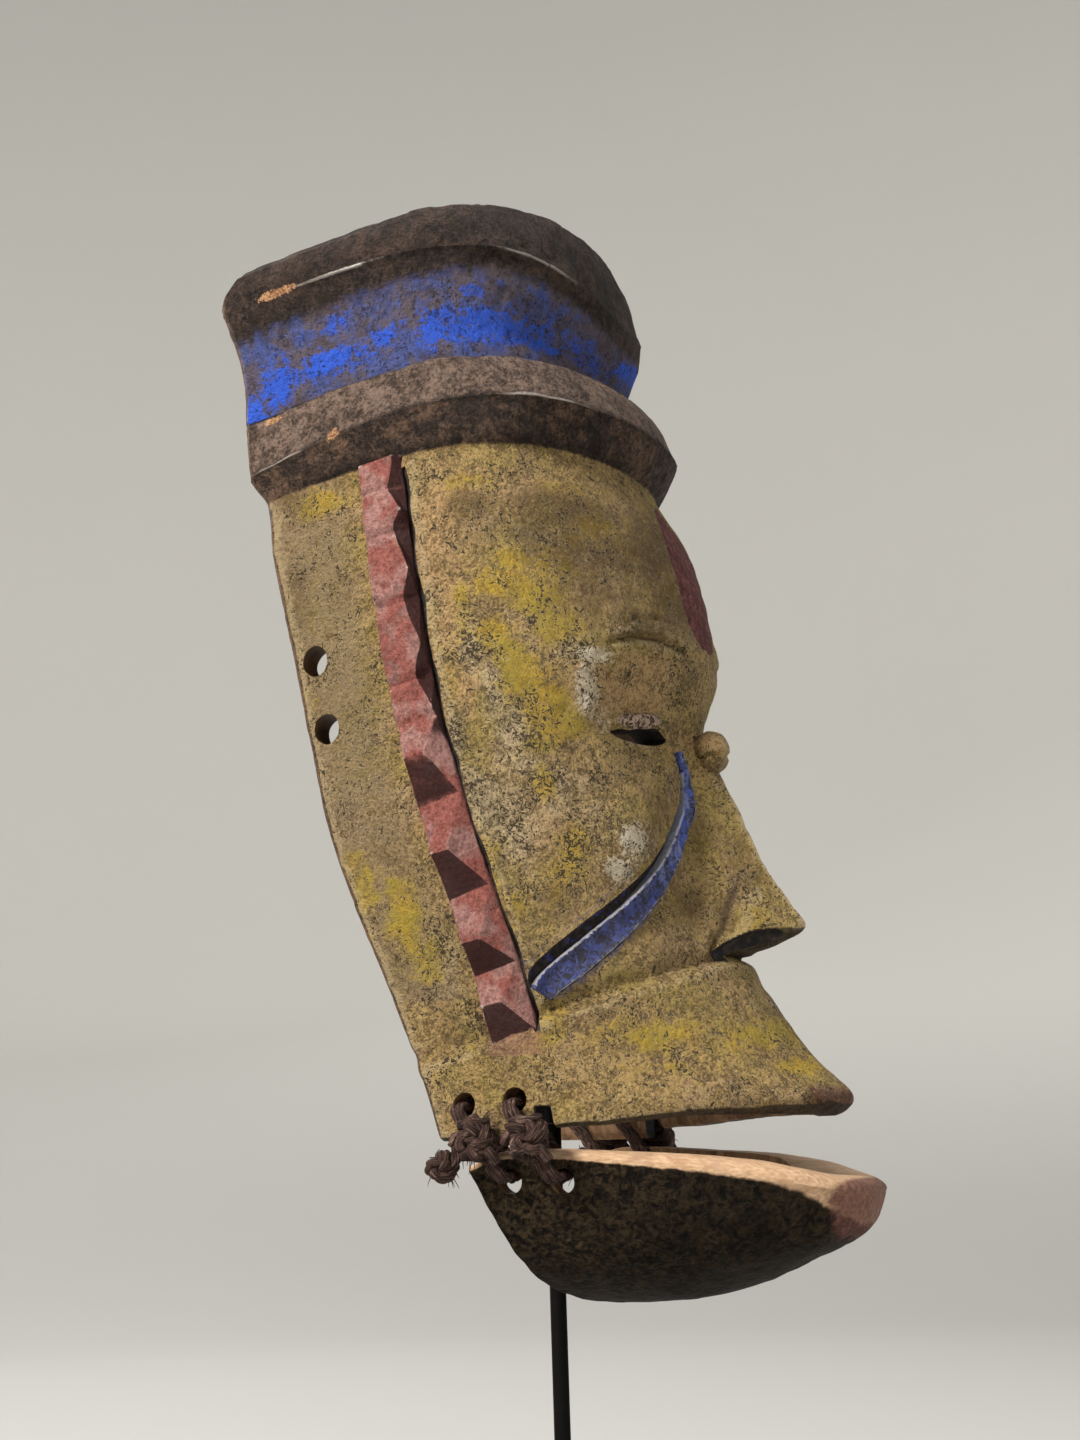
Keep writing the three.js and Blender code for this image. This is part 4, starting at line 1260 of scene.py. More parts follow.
def knob(material):
    """The small split knob at the root of the nose."""
    bm = bmesh.new()
    bmesh.ops.create_icosphere(bm, subdivisions=4, radius=6.2 * MM)
    for vert in bm.verts:
        place = vert.co / MM
        split = math.exp(-(((place.z + 1.9 - 0.12 * place.x) / 0.6) ** 2))
        vert.co *= 1 + 0.05 * noise.noise(place / 4) + 0.03 * noise.noise(place / 1.7) - 0.2 * split
        vert.co.z *= 1.04
        vert.co.x *= 0.9
    bmesh.ops.translate(bm, verts=bm.verts[:], vec=Vector(KNOB_PLACE) * MM)
    return new_object("knob", bm, [material])


def corner_notch(material):
    """The saw cut in front of the tab that carries the jaw."""
    middle = Vector((16.8, 0, 164.5))
    bm = bmesh.new()
    bmesh.ops.create_cube(bm, size=1)
    bmesh.ops.subdivide_edges(bm, edges=bm.edges[:], cuts=7, use_grid_fill=True)
    bmesh.ops.scale(bm, verts=bm.verts[:], vec=Vector((4.6, 180, 40)) * MM)
    bmesh.ops.translate(bm, verts=bm.verts[:], vec=middle * MM)
    for vert in bm.verts:
        place = vert.co / MM
        widen = 1.6 * (184.5 - place.z) / 10 if place.x > middle.x else 0
        vert.co.x += (0.5 * noise.noise(place / 7) + min(widen, 1.6)) * MM
    return new_object("corner_notch", bm, [material])


def relief_of(skin, spread):
    """How far each grid point stands above the skin around it, in millimetres."""
    soft = skin.copy()
    for _ in range(spread):
        beside = soft[:-2, 1:-1] + soft[2:, 1:-1] + soft[1:-1, :-2] + soft[1:-1, 2:]
        soft[1:-1, 1:-1] = (soft[1:-1, 1:-1] + beside) / 5
    return np.einsum("ijk,ijk->ij", skin - soft, normals_of(skin))


def lobes(point, places):
    """Soft ovals at (x, height, half length, half height, strength) places of the side view."""
    x, z = point[..., 0], point[..., 2]
    total = np.zeros(x.shape)
    for middle_x, middle_z, half_length, half_height, *strength in places:
        spot = oval(x, z, middle_x, middle_z, half_length, half_height)
        total = np.maximum(total, spot * (strength[0] if strength else 1))
    return total


# Where each paint, gloss or wear, painted shade or painted highlight lies in the side view, as
# lobes() takes it.
YELLOW_RIGHT = [
    (12, 330, 8, 6, 0.85), (21, 325, 7, 6), (25, 318, 6, 6), (16, 337, 7, 5, 0.6),
    (10, 315, 4.5, 6), (14, 309, 5, 6), (18, 302, 5.5, 6, 1.2), (22, 296, 5.5, 6, 1.2),
    (26, 290, 5, 5), (20, 284, 3.5, 4, 0.8), (21.5, 273, 3, 5), (28, 254, 4.5, 9, 0.85),
    (33, 349, 7, 5, 0.7), (48, 330, 4, 8, 0.45), (38, 338, 6, 6, 0.4), (4, 361, 9, 3, 0.6),
    (27, 360, 7, 3, 0.5), (2, 322, 3.5, 12, 0.6), (-1, 302, 3.5, 12, 0.4), (-44, 359, 11, 5, 0.8),
    (-33, 247, 6, 12, 0.7), (-20, 238, 7, 14, 0.8), (-14, 226, 7, 7, 0.7), (5.9, 251, 5, 9, 0.75),
    (8, 240, 4, 8, 0.6), (14, 238, 6, 8, 0.5), (65, 236, 5, 7, 0.75), (70, 203, 10, 6, 0.75),
    (79, 194, 6, 3.5, 0.8), (44, 203, 14, 6, 0.7), (52, 194, 10, 4, 0.4), (-48, 300, 6, 14, 0.25),
    (34, 346, 13, 9, 0.45), (24, 336, 8, 9, 0.5), (20, 206, 10, 6, 0.5), (22, 290, 5, 10, 0.8),
    (17, 303, 6, 7, 1.1), (24, 246, 5, 10, 0.5),
]
YELLOW_LEFT = [
    (8, 336, 10, 10, 0.8), (-2, 312, 6, 10), (6, 303, 5, 7, 1.1), (13, 294, 5, 7, 1.1),
    (16, 270, 7, 12, 0.8), (-34, 300, 9, 16, 0.6), (-25, 246, 8, 12, 0.7), (34, 205, 12, 6, 0.6),
    (58, 194, 9, 6, 0.7), (-38, 354, 9, 7, 0.7), (22, 345, 7, 8, 0.8), (66, 235, 6, 6, 0.7),
    (24, 315, 6, 8, 0.8), (-4, 262, 5, 12, 0.6), (-44, 268, 6, 10, 0.5), (40, 335, 6, 7, 0.5),
]
TAN = [
    (-6, 344, 6.5, 24), (-1, 322, 5.5, 17), (3, 300, 4, 14, 0.8), (54, 290, 9, 3.5, 1.3),
    (12, 362, 12, 4, 0.7), (47.5, 287.0, 2.6, 2.0, 0.8), (-60, 366, 18, 4, 0.8),
    (60, 217, 14, 6, 0.5), (-64, 340, 4, 40, 0.5), (22, 262, 14, 18, 0.8), (36, 300, 11, 9, 1.1),
    (44, 307, 8, 8, 0.9), (-2, 290, 5, 20, 0.5),
]
CRACKLE = [
    (10, 300, 4, 12), (4, 312, 4, 10), (14, 288, 6, 8), (12, 262, 12, 22, 0.8),
    (24, 270, 10, 16, 0.7), (20, 345, 12, 8, 0.5), (-50, 268, 6, 14, 0.7), (-8, 225, 8, 10, 0.7),
    (28, 312, 5, 5, 0.8), (-1, 284, 5, 18, 0.8), (5, 264, 7, 18, 0.9), (13, 252, 8, 12, 0.6),
    (2, 318, 5, 10, 0.7), (16, 278, 9, 8, 0.7), (31, 262, 8, 14, 0.6), (-46, 262, 5, 20, 0.8),
]
BLUE_RIGHT = [
    (-65, 400, 6, 7.5), (-55, 407, 6, 8.5), (-40, 408, 14, 5.0), (-36, 419, 5, 3, 0.7),
    (-6.5, 408, 5, 6), (-2, 412, 4, 3), (7, 408.5, 11, 5.5), (20, 411, 8, 4, 0.5),
    (5, 418, 6, 3, 0.6), (28, 413, 6, 4, 0.35), (-20, 410, 5, 4), (15, 406, 8, 3, 0.7),
]
BLUE_LEFT = [
    (-58, 404, 9, 7), (-32, 408, 13, 5), (-6, 411, 9, 7), (14, 414, 10, 6), (-20, 419, 8, 3),
    (28, 418, 6, 5),
]
# Darker stains mixed with painted shade: on the forehead, the brow, the nose's side and under the
# knob.
STAIN_AND_PAINTED_SHADE = [
    (4, 353, 10, 6, 0.7), (26, 352, 14, 8), (38, 342, 10, 9, 0.9), (34, 330, 14, 16, 0.55),
    (45, 268, 4, 12, 0.5), (-50, 330, 10, 18, 0.5), (-30, 210, 8, 6, 0.7), (4, 205, 8, 5, 0.7),
    (44, 321, 9, 7, 0.9), (50, 240, 5, 8, 0.6), (60, 281.5, 5, 3.5, 1.2), (50, 330, 6, 16, 0.7),
    (20, 345, 16, 7, 0.6), (36, 230, 9, 7, 0.5), (52, 262, 6, 12, 0.6), (62, 256, 7, 16, 0.5),
    (64, 235, 10, 6, 0.5), (-40, 255, 8, 14, 0.4), (24, 240, 8, 8, 0.5), (30, 344, 20, 16, 0.7),
    (-50, 360, 14, 10, 0.5), (44, 345, 8, 20, 0.8), (-45, 300, 10, 14, 0.35),
    (66, 250, 10, 14, 0.6), (30, 200, 30, 8, 0.3),
]
RIDGE_LIGHT = [
    (-36, UPPER_RIDGE, 16, 1.5), (19, UPPER_RIDGE, 9, 1.5, 0.8), (-54, LOWER_RIDGE, 11, 1.5),
    (23, LOWER_RIDGE, 10, 1.5),
]
# Glossy places, which also get a pale painted highlight.
GLOSS_AND_HIGHLIGHT = [
    (31.5, 300, 3.0, 8.5, 1.1), (33.5, 310, 5, 3.2), (41, 257, 3.6, 6.5), (37.5, 249, 4.2, 4),
    (-60, 300, 2.4, 6, 0.6), (-54, 292, 2, 4, 0.5), (34, 292, 1.8, 7, 0.6),
]


def edge_wear(mesh, point, normal):
    """How convex the mesh is at each vertex: above 0 on its edges, below 0 in its corners."""
    edges = np.empty(len(mesh.edges) * 2, np.int32)
    mesh.edges.foreach_get("vertices", edges)
    first, second = edges.reshape(-1, 2).T
    gap = point[first] - point[second]
    gap /= np.maximum(np.linalg.norm(gap, axis=1, keepdims=True), 1e-6)
    total, count, soft = np.zeros((3, len(point)))
    for here, way in ((first, 1), (second, -1)):
        np.add.at(total, here, way * np.einsum("ij,ij->i", normal[here], gap))
        np.add.at(count, here, 1)
    count = np.maximum(count, 1)
    convex = total / count
    for here, there in ((first, second), (second, first)):
        np.add.at(soft, here, convex[there])
    return (convex + soft / count) / 2


def nearest_of(places, wanted):
    """For each wanted point, the index of the nearest of the places."""
    search = kdtree.KDTree(len(places))
    for i, place in enumerate(places.tolist()):
        search.insert(place, i)
    search.balance()
    return np.array([search.find(point)[1] for point in wanted.tolist()])


def beside_ribs(point, ribs):
    """How far each point lies across the nearest rib, in the rib's half widths; 9 far away."""
    beside = np.full(len(point), 9.0)
    x, y, z = point.T
    for side, (line, _, across_it, half) in ribs.items():
        near = np.flatnonzero((y * side > 4) & (z < 280) & (z > 206) & (x > 8))
        k = nearest_of(line, point[near])
        offset = point[near] - line[k]
        close = (np.linalg.norm(offset, axis=1) < 9) & (k > 0) & (k < len(line) - 1)
        share = np.einsum("ij,ij->i", offset, across_it[k]) / half[k]
        beside[near[close]] = share[close]
    return beside


def mesh_arrays(mesh):
    """The mesh's vertices in millimetres and their normals."""
    point, normal = np.empty((2, len(mesh.vertices) * 3))
    mesh.vertices.foreach_get("co", point)
    mesh.vertex_normals.foreach_get("vector", normal)
    return point.reshape(-1, 3) / MM, normal.reshape(-1, 3)


def store(mesh, values):
    """Keeps the named values on the mesh's vertices, for the materials to read."""
    for name, value in values.items():
        layer = mesh.attributes.new(name, "FLOAT", "POINT")
        layer.data.foreach_set("value", np.asarray(value, np.float32))


def crease_shade_and_highlight(plain):
    """The painted shade in the creases of the brow, the nose's wing and the lip, and the painted
    highlight above them.
    """
    q, z = across(plain[:, 0], plain[:, 1]), plain[:, 2]
    arc, on_arc = brow_crease(q, z)
    wing_line, wing = wing_crease(q, plain[:, 1], z)
    # painted shade along the creases
    crease_shade = np.maximum(0.8 * hump(arc, 0.55) * on_arc, 1.1 * hump(wing_line, 0.5) * wing)
    crease_shade = np.maximum(crease_shade, 0.9 * hump(z - crease_height(q) + 0.2, 0.5) * step(16, 4, q))
    # painted highlight beside the brow's and the wing's creases
    light = np.maximum(1.1 * hump(arc + 1.3, 0.8) * on_arc, 0.6 * hump(wing_line - 2.0, 1.0) * wing)
    return crease_shade, light


def paint_places(mesh, grid, ribs):
    """Stores on the mask's mesh where each paint lies and how worn each place is."""
    skin = grid[0]
    point, normal = mesh_arrays(mesh)
    x, y, z = point.T
    nearest = nearest_of(skin.reshape(-1, 3), point)
    level, around, chips, proud, sunken = (
        values.ravel()[nearest] for values in (*grid[1:], relief_of(skin, 6), -relief_of(skin, 10))
    )
    offset = point - skin.reshape(-1, 3)[nearest]
    fine_level = level + offset[:, 2] - tilt(level) * offset[:, 0]
    fine_level = np.where(level >= HAT_TOP - 0.01, np.maximum(fine_level, HAT_TOP), fine_level)
    by_level = np.stack([x, y, fine_level], 1)
    on_face = fine_level < FACE_EDGE + 1
    on_front = np.abs(around) < 0.5
    on_side = (np.abs(y) > 30) & (z > BAND_FOOT - 6) & (z < BAND_TOP + 3)
    in_strip = (x > 20) & (z >= 316.5) & (z < 374)
    under_nose = step(NOSE_BASE - 2, NOSE_BASE, z) * step(237, 234, z) * step(56, 58, x) > 0.5
    # painted shade under the rim, on faces turned down
    under_rim_shade = np.where(z < 186, (-normal[:, 2] - 0.55) * 6, IN_LIGHT)
    crease_shade, light = crease_shade_and_highlight(plain_skin(level, around))
    q = across(x, y)
    above, below, share = eye_lines(q, z)
    at_lid = np.maximum(hump(above - 2.6, 2.6), 0.5 * hump(below - 0.6, 0.9)) * (share > 0)
    # painted shade on the band's facets that face down or ahead
    shade_facing_down = -normal[:, 2] * (1.5 - 1.0 * step(284, 294, z))
    shade_facing_ahead = normal[:, 0] * 1.5 * step(280, 296, z)

    def by_side(right, left, at=point):
        return np.where(y < 0, lobes(at, right), lobes(at, left))

    store(mesh, {
        "level": fine_level,
        # wear on proud places, with the painted highlight by the creases
        "wear_and_painted_highlight": np.clip(proud / 0.55 + light * on_front, -0.5, 1.2) * (fine_level < HAT_TOP + 1),
        # grime and painted shade in the hollows, painted shade in the creases
        "grime_and_painted_shade": np.maximum(np.clip(sunken / 0.9, 0, 1) * 0.35, crease_shade * on_front),
        "chip": chips,
        "yellow": by_side(YELLOW_RIGHT, YELLOW_LEFT) * on_face,
        "blue_patch": by_side(BLUE_RIGHT, BLUE_LEFT, by_level),
        "crackle": lobes(point, CRACKLE),
        "strip": np.where(in_strip, strip_half_width(z) - np.abs(y), OFF_STRIP),
        "band": np.where(on_side, BAND_HALF_WIDTH - np.abs(x - band_x(z)), OFF_BAND),
        "edge": edge_wear(mesh, point, normal),
        "beside_rib": beside_ribs(point, ribs),
        "gloss_and_highlight": lobes(point, GLOSS_AND_HIGHLIGHT),
        "tan": lobes(point, TAN) * on_face,
        "behind": step(-8, -18, x - band_x(z)) * (z > 215),
        "back_edge": step(0.35, 0.75, -normal[:, 0]) * (x < back_x(fine_level) + 5),
        "stain_and_painted_shade": lobes(point, STAIN_AND_PAINTED_SHADE),
        "lid": at_lid * on_front * hump(q - EYE_ACROSS, 7.5),
        "lip": np.minimum(x - 82, 188 - z),
        "painted_shade_below": np.maximum(np.where(under_nose, -normal[:, 2] * 4 - 0.8, IN_LIGHT), under_rim_shade),
        "painted_shade_turned_away": np.clip(np.maximum(shade_facing_down, shade_facing_ahead), 0, 1),
        "ridge_light": lobes(by_level, RIDGE_LIGHT),
    })


class CarveMask(bpy.types.Operator):
    """Carves the mask, hollows it and paints it"""

    bl_idname = "mask.carve_mask"
    bl_label = "Carve mask"

    def execute(self, context):
        colours = context.scene.mask_settings
        paint, hollow, groove_shade = face_paint(colours), hollow_wood(), groove_shade_paint()
        band, rib = band_paint(colours), rib_paint()
        rows, grid = mask_block()
        mask = new_object("carved_mask", skin_mesh(rows), [paint])
        ribs = {side: rib_line(side) for side in (-1, 1)}
        added, cut = [], []
        for side, lines in ribs.items():
            channel, bar = rib_parts(lines, rib, groove_shade)
            cut += [channel, band_groove(side, groove_shade)]
            added += [bar, notched_band(side, band)]
        cut_last = [new_object("hollow", skin_mesh(hollow_rows()), [hollow])]
        for side in (-1, 1):
            cut_last += [eye_cut(side, groove_shade), nostril_cut(side, groove_shade)]
        for i, place in enumerate(SIDE_HOLES):
            cut_last.append(cross_hole("side_hole", place, SIDE_HOLE_RADIUS, hollow, i))
        for i, (top, _) in enumerate(TIES.values()):
            cut_last.append(cross_hole("tie_hole", top, TIE_HOLE_RADIUS, hollow, 5 + i))
        cut_last += [corner_notch(groove_shade), crack_cut(groove_shade)]
        combine(mask, [
            ("UNION", knob(paint)), *(("DIFFERENCE", part) for part in cut),
            *(("UNION", part) for part in added), *(("DIFFERENCE", part) for part in cut_last),
        ])
        paint_places(mask.data, grid, ribs)
        smooth(mask, 38)
        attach(mask, "mask")
        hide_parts("mask")
        return {"FINISHED"}


# ---------------------------------------------------------------- the jaw

JAW_AFT = -14
JAW_TIP = 96.9
JAW_HALF_WIDTH = 50.5
JAW_WALL = 6.5
JAW_FLOOR = 8
JAW_POWER = 2 / 1.75
KEEL_TIP = 88

# By x: the rim's height, the keel's height, how far down and in the rim is worn round, and how far
# down it is painted; by height, the corner and the flare of the sawn V at the stern.
jaw_rim = curve([(-8, 169), (0, 172.2), (8, 173.3), (40, 171.6), (80, 168.1), (97, 163.6)])
jaw_keel = curve([(0, 131.5), (12, 129.6), (25, 129), (43, 130), (54, 131.8), (65, 135.5),
                  (75, 139.8), (84, 143.6), (90, 147.4)])
stern_corner = curve([(129, 18), (143, 19), (157, 19), (173, 17)])
stern_flare = curve([(129, 0.5), (143, 0.44), (157, 0.45), (173, 0.5)])
rim_drop = curve([(0, 2.0), (22, 2.6), (54, 4.0), (78, 6.0), (88, 6.2), (94, 5), (97, 4.5)])
rim_width = curve([(0, 3.4), (40, 4.2), (60, 6.5), (75, 11), (88, 14), (97, 13)])
rim_paint = curve([(0, 2.0), (22, 2.8), (54, 4.4), (72, 6.0), (80, 7.5), (87, 10.5), (97, 16)])
HOLLOW_SHORTER = 4.2


def jaw_rim_line(around, inset):
    """The plan of the jaw's rim: around is -1 at the right end, 0 at the tip, 1 left."""
    angle = np.abs(around) * math.pi / 2
    aft = JAW_AFT - inset
    length = JAW_TIP - HOLLOW_SHORTER * inset - aft
    x = aft + length * np.clip(np.cos(angle), 0, 1) ** JAW_POWER
    y = np.sign(around) * (JAW_HALF_WIDTH - inset) * np.sin(angle) ** (JAW_POWER * 0.55)
    return x, y


def jaw_hull(depths, places, inset, floor, lift):
    """Rows of the boat shape from its rim down to its keel."""
    depth, around = np.meshgrid(depths, places, indexing="ij")
    rim_x, rim_y = jaw_rim_line(around, inset)
    inward = 1 - np.cos(depth * math.pi / 2)
    down = np.sin(depth * math.pi / 2)
    keel_x = KEEL_TIP * np.clip((rim_x - JAW_AFT) / (JAW_TIP - JAW_AFT), 0, 1)
    top = jaw_rim(rim_x) + lift
    x = rim_x + (keel_x - rim_x) * inward
    z = top + (jaw_keel(keel_x) + floor - top) * down
    return np.stack([x, rim_y * (1 - inward), z], -1)


def jaw_places(count):
    """Places along the rim, closer together where it turns at the tip."""
    place = np.linspace(0, 1, 801)
    along = travelled(np.stack(jaw_rim_line(place, 0), 1)) + 8 * step(0.0, 0.4, place)
    return both_sides(np.interp(np.linspace(0, along[-1], count + 1), along, place))


def worn_hull():
    """The outside of the jaw up to where its rim is worn round, and how far that is down."""
    depths = np.concatenate([[0.0], np.linspace(0.02, 1, 62)])
    hull = jaw_hull(depths, jaw_places(96), 0, 0, 0)
    rim_x = hull[0, :, 0]
    drop = rim_drop(rim_x)
    start = hull[0] - drop[:, None] * np.array([0, 0, 1])
    first = int(np.argmax((jaw_rim(rim_x) - hull[..., 2] > drop * 1.15).all(axis=1)))
    between = [start + (hull[first] - start) * share for share in np.linspace(0, 1, 6)[:-1]]
    hull = np.concatenate([np.stack(between), hull[first:]])
    bumps = 0.55 * uneven(hull, 17, 2.2) + 0.3 * uneven(hull, 6, 5.5)
    bumps += 0.12 * uneven(hull, 2.5, 1.1)
    facets = 0.45 * (scallops(hull, (11, 11, 9), 7.7) - 0.45)
    pits = -0.5 * np.clip(uneven(hull, 3.4, 9.4) - 0.28, 0, 1)
    at_rim = np.maximum(step(0, 6, np.arange(len(hull))), 0.35)[:, None]
    at_keel = 1 - step(0.93, 1, np.linspace(0, 1, len(hull)))[:, None]
    moved = (bumps + facets + pits) * at_rim * at_keel
    return hull - normals_of(hull) * moved[..., None], start, drop


def jaw_outside():
    """The closed outside of the jaw: its hull, the worn rounded rim and a deck to hollow out."""
    hull, start, drop = worn_hull()
    towards = (np.array([20.0, 0, 0]) - start) * np.array([1, 1, 0])
    distance = np.linalg.norm(towards, axis=1, keepdims=True)
    towards /= distance
    deck = []
    for turn in np.linspace(0, math.pi / 2, 9)[1:]:
        inset = rim_width(start[:, 0]) * (1 - math.cos(turn))
        ring = hull[0] + towards * inset[:, None]
        ring[:, 2] += drop * math.sin(turn)
        ring[:, 2] += 0.12 * uneven(ring, 5, 3.3)
        deck.append(ring)
    top = deck[-1]
    for share in (0.05, 0.12, 0.3, 0.6, 1.0):
        ring = top + towards * (distance - inset[:, None]) * share
        ring[:, 2] = top[:, 2] * (1 - share) + 170 * share
        deck.append(ring)
    deck[-1] = pulled_together(ring)
    return ring_back(np.concatenate([np.stack(deck[::-1]), hull]), 13)


def jaw_inside():
    """The jaw's hollow as a solid to cut away, with gouge marks, open above the rim."""
    depths = np.linspace(0, 1, 34)
    hull = jaw_hull(depths, jaw_places(60), JAW_WALL, JAW_FLOOR, 0.4)
    marks = 0.5 * (scallops(hull, (7, 7, 14), 4.4) - 0.4) + 0.3 * uneven(hull, 12, 8.8)
    at_keel = 1 - step(0.9, 1, depths)[:, None]
    hull = hull - normals_of(hull) * (marks * at_keel)[..., None]
    above = []
    for lift, out in ((24, 0.9), (12, 0.9), (2.0, 0.8)):
        ring = hull[0].copy()
        ring[:, :2] *= 1 + out / 60
        ring[:, 2] += lift
        above.append(ring)
    rows = np.concatenate([pulled_together(above[0])[None], np.stack(above), hull])
    return np.concatenate([rows, rows[:, :1]], axis=1)


def stern_cut(material):
    """The sawn V at the back of the jaw."""
    widths = np.linspace(-60, 60, 61)
    rings = []
    for z in np.arange(118, 190, 2.0):
        x = float(stern_corner(z)) - float(stern_flare(z)) * np.hypot(widths, 4)
        ring = np.stack([x, widths, np.full(len(widths), z)], 1)
        ring[:, 0] += 0.35 * uneven(ring, 7, 6.6)
        back = np.stack([np.full(7, -60.0), np.linspace(60, -60, 7), np.full(7, z)], 1)
        rings.append(np.concatenate([ring, back, ring[:1]]))
    return new_object("stern_cut", skin_mesh(capped(np.array(rings))), [material])


class CarveJaw(bpy.types.Operator):
    """Carves the boat-shaped jaw and stains it"""

    bl_idname = "mask.carve_jaw"
    bl_label = "Carve jaw"

    def execute(self, context):
        outside, inside = jaw_wood(), hollow_wood()
        jaw = new_object("carved_jaw", skin_mesh(jaw_outside()), [outside])
        cut = [new_object("jaw_hollow", skin_mesh(jaw_inside()), [inside]), stern_cut(outside)]
        for i, (_, low) in enumerate(TIES.values()):
            cut.append(cross_hole("tie_hole", low, TIE_HOLE_RADIUS, inside, 20 + i))
        combine(jaw, [("DIFFERENCE", part) for part in cut])
        point, normal = mesh_arrays(jaw.data)
        x, y, z = point.T
        below = jaw_rim(x) - z
        store(jaw.data, {
            "rim": np.clip(1.0 - 0.6 * below / rim_paint(x), 0, 1),
            "tip": x - 87.5 - 0.8 * np.maximum(z - 157, 0) + 3 * (normal[:, 0] - 0.6),
            "edge": edge_wear(jaw.data, point, normal),
        })
        smooth(jaw, 40)
        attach(jaw, "jaw")
        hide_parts("jaw")
        return {"FINISHED"}


# ---------------------------------------------------------------- the ties

KNOT_PLACE = 0.45
END_KNOT = (-11.5, 58, 169)
# A turn of the cord: the share of the way from the mask's hole to the jaw's, the distance from
# the mask's middle and a shift along the wall.
LOOP_OUTSIDE = [(0.0, 47.3, -0.9), (-0.02, 53.8, -0.9), (0.04, 57.0, -0.9), (0.35, 57.2, -0.9),
                (0.7, 55.2, -0.9), (0.97, 53.4, -0.9), (1.02, 50.2, -0.9), (1.0, 43.8, -0.9)]
LOOP_INSIDE = [(1.02, 42, -0.9), (0.85, 39.4, -0.9), (0.5, 38.9, -1.6), (0.12, 40.0, -3.2),
               (-0.08, 41.2, -3.4), (-0.06, 44.0, -2.3)]
# The two short ends: from the knot's middle along x and z, and from the mask's middle.
TAILS = [[(1, 58, -2), (4.5, 59.5, -3.5), (6.0, 58.4, -6.5)],
         [(-1, 58, 2), (-4.6, 59.3, 1), (-6.6, 58.4, -1.5)]]


def joined(name, meshes, material):
    """One object out of several meshes that touch or pass through each other."""
    whole = bmesh.new()
    for bm in meshes:
        mesh = bpy.data.meshes.new(name)
        bm.to_mesh(mesh)
        bm.free()
        whole.from_mesh(mesh)
        bpy.data.meshes.remove(mesh)
    return new_object(name, whole, [material], 60)


def laid_cord(path, radius, phase=0.0, spacing=0.55):
    """A cord of three twisted strands along a path, a little uneven in thickness."""
    line = resample(path, spacing)
    line = line + 0.3 * np.stack([uneven(line, 3.0, phase + i) for i in range(3)], 1)
    thick = radius * (1 + 0.18 * uneven(line, 4, phase + 4))
    return skin_mesh(tube_rows(line, thick, 18, twist=0.62 / radius, lobes=0.26), uv=True)


def knot_path(centre, size, turn):
    """A loose overhand knot: a trefoil line around a centre."""
    t = np.linspace(0, 2 * math.pi, 40)
    x = (np.sin(t) + 2 * np.sin(2 * t)) / 3
    z = (np.cos(t) - 2 * np.cos(2 * t)) / 3
    y = -np.sin(3 * t)
    flat_x = x * math.cos(turn) - z * math.sin(turn)
    flat_z = x * math.sin(turn) + z * math.cos(turn)
    return np.stack([centre[0] + size[0] * flat_x, centre[1] + size[1] * y,
                     centre[2] + size[2] * flat_z], 1)


def fibres(centre, size, count, seed):
    """Thin broken fibre ends that stand off a knot."""
    meshes = []
    for i in range(count):
        at = Vector((seed * 7.3 + i * 1.37, i * 0.61, seed * 2.9))
        aim = noise.noise_vector(at).normalized()
        start = Vector(centre) + Vector([aim[j] * size[j] * 0.75 for j in range(3)])
        bend = noise.noise_vector(at * 1.7 + Vector((5, 5, 5))) * 3.2 - Vector((0, 0, 1.4))
        length = 1.4 + 4.8 * abs(noise.noise(at * 2.3))
        path = [start + aim * length * t + bend * t * t for t in (0, 0.33, 0.66, 1)]
        rows = tube_rows([tuple(p) for p in path], (0.2, 0.17, 0.13, 0.07), 4)
        meshes.append(skin_mesh(rows, uv=True))
    return meshes


def loop_line(ends, side, shift, reach):
    """One turn of the cord: out through the mask's hole, in through the jaw's and back behind."""
    (top_x, top_z), (low_x, low_z) = ends
    line = []
    for share, y, along in LOOP_OUTSIDE + LOOP_INSIDE:
        pinch = 1 - 0.35 * math.exp(-(((share - KNOT_PLACE) / 0.3) ** 2))
        x = top_x + (low_x - top_x) * share + shift * pinch + along
        z = top_z + (low_z - top_z) * share + shift * 0.35 - 1.3 * (1 - 2 * share)
        line.append((x, side * (y + reach), z))
    return line + line[:1]


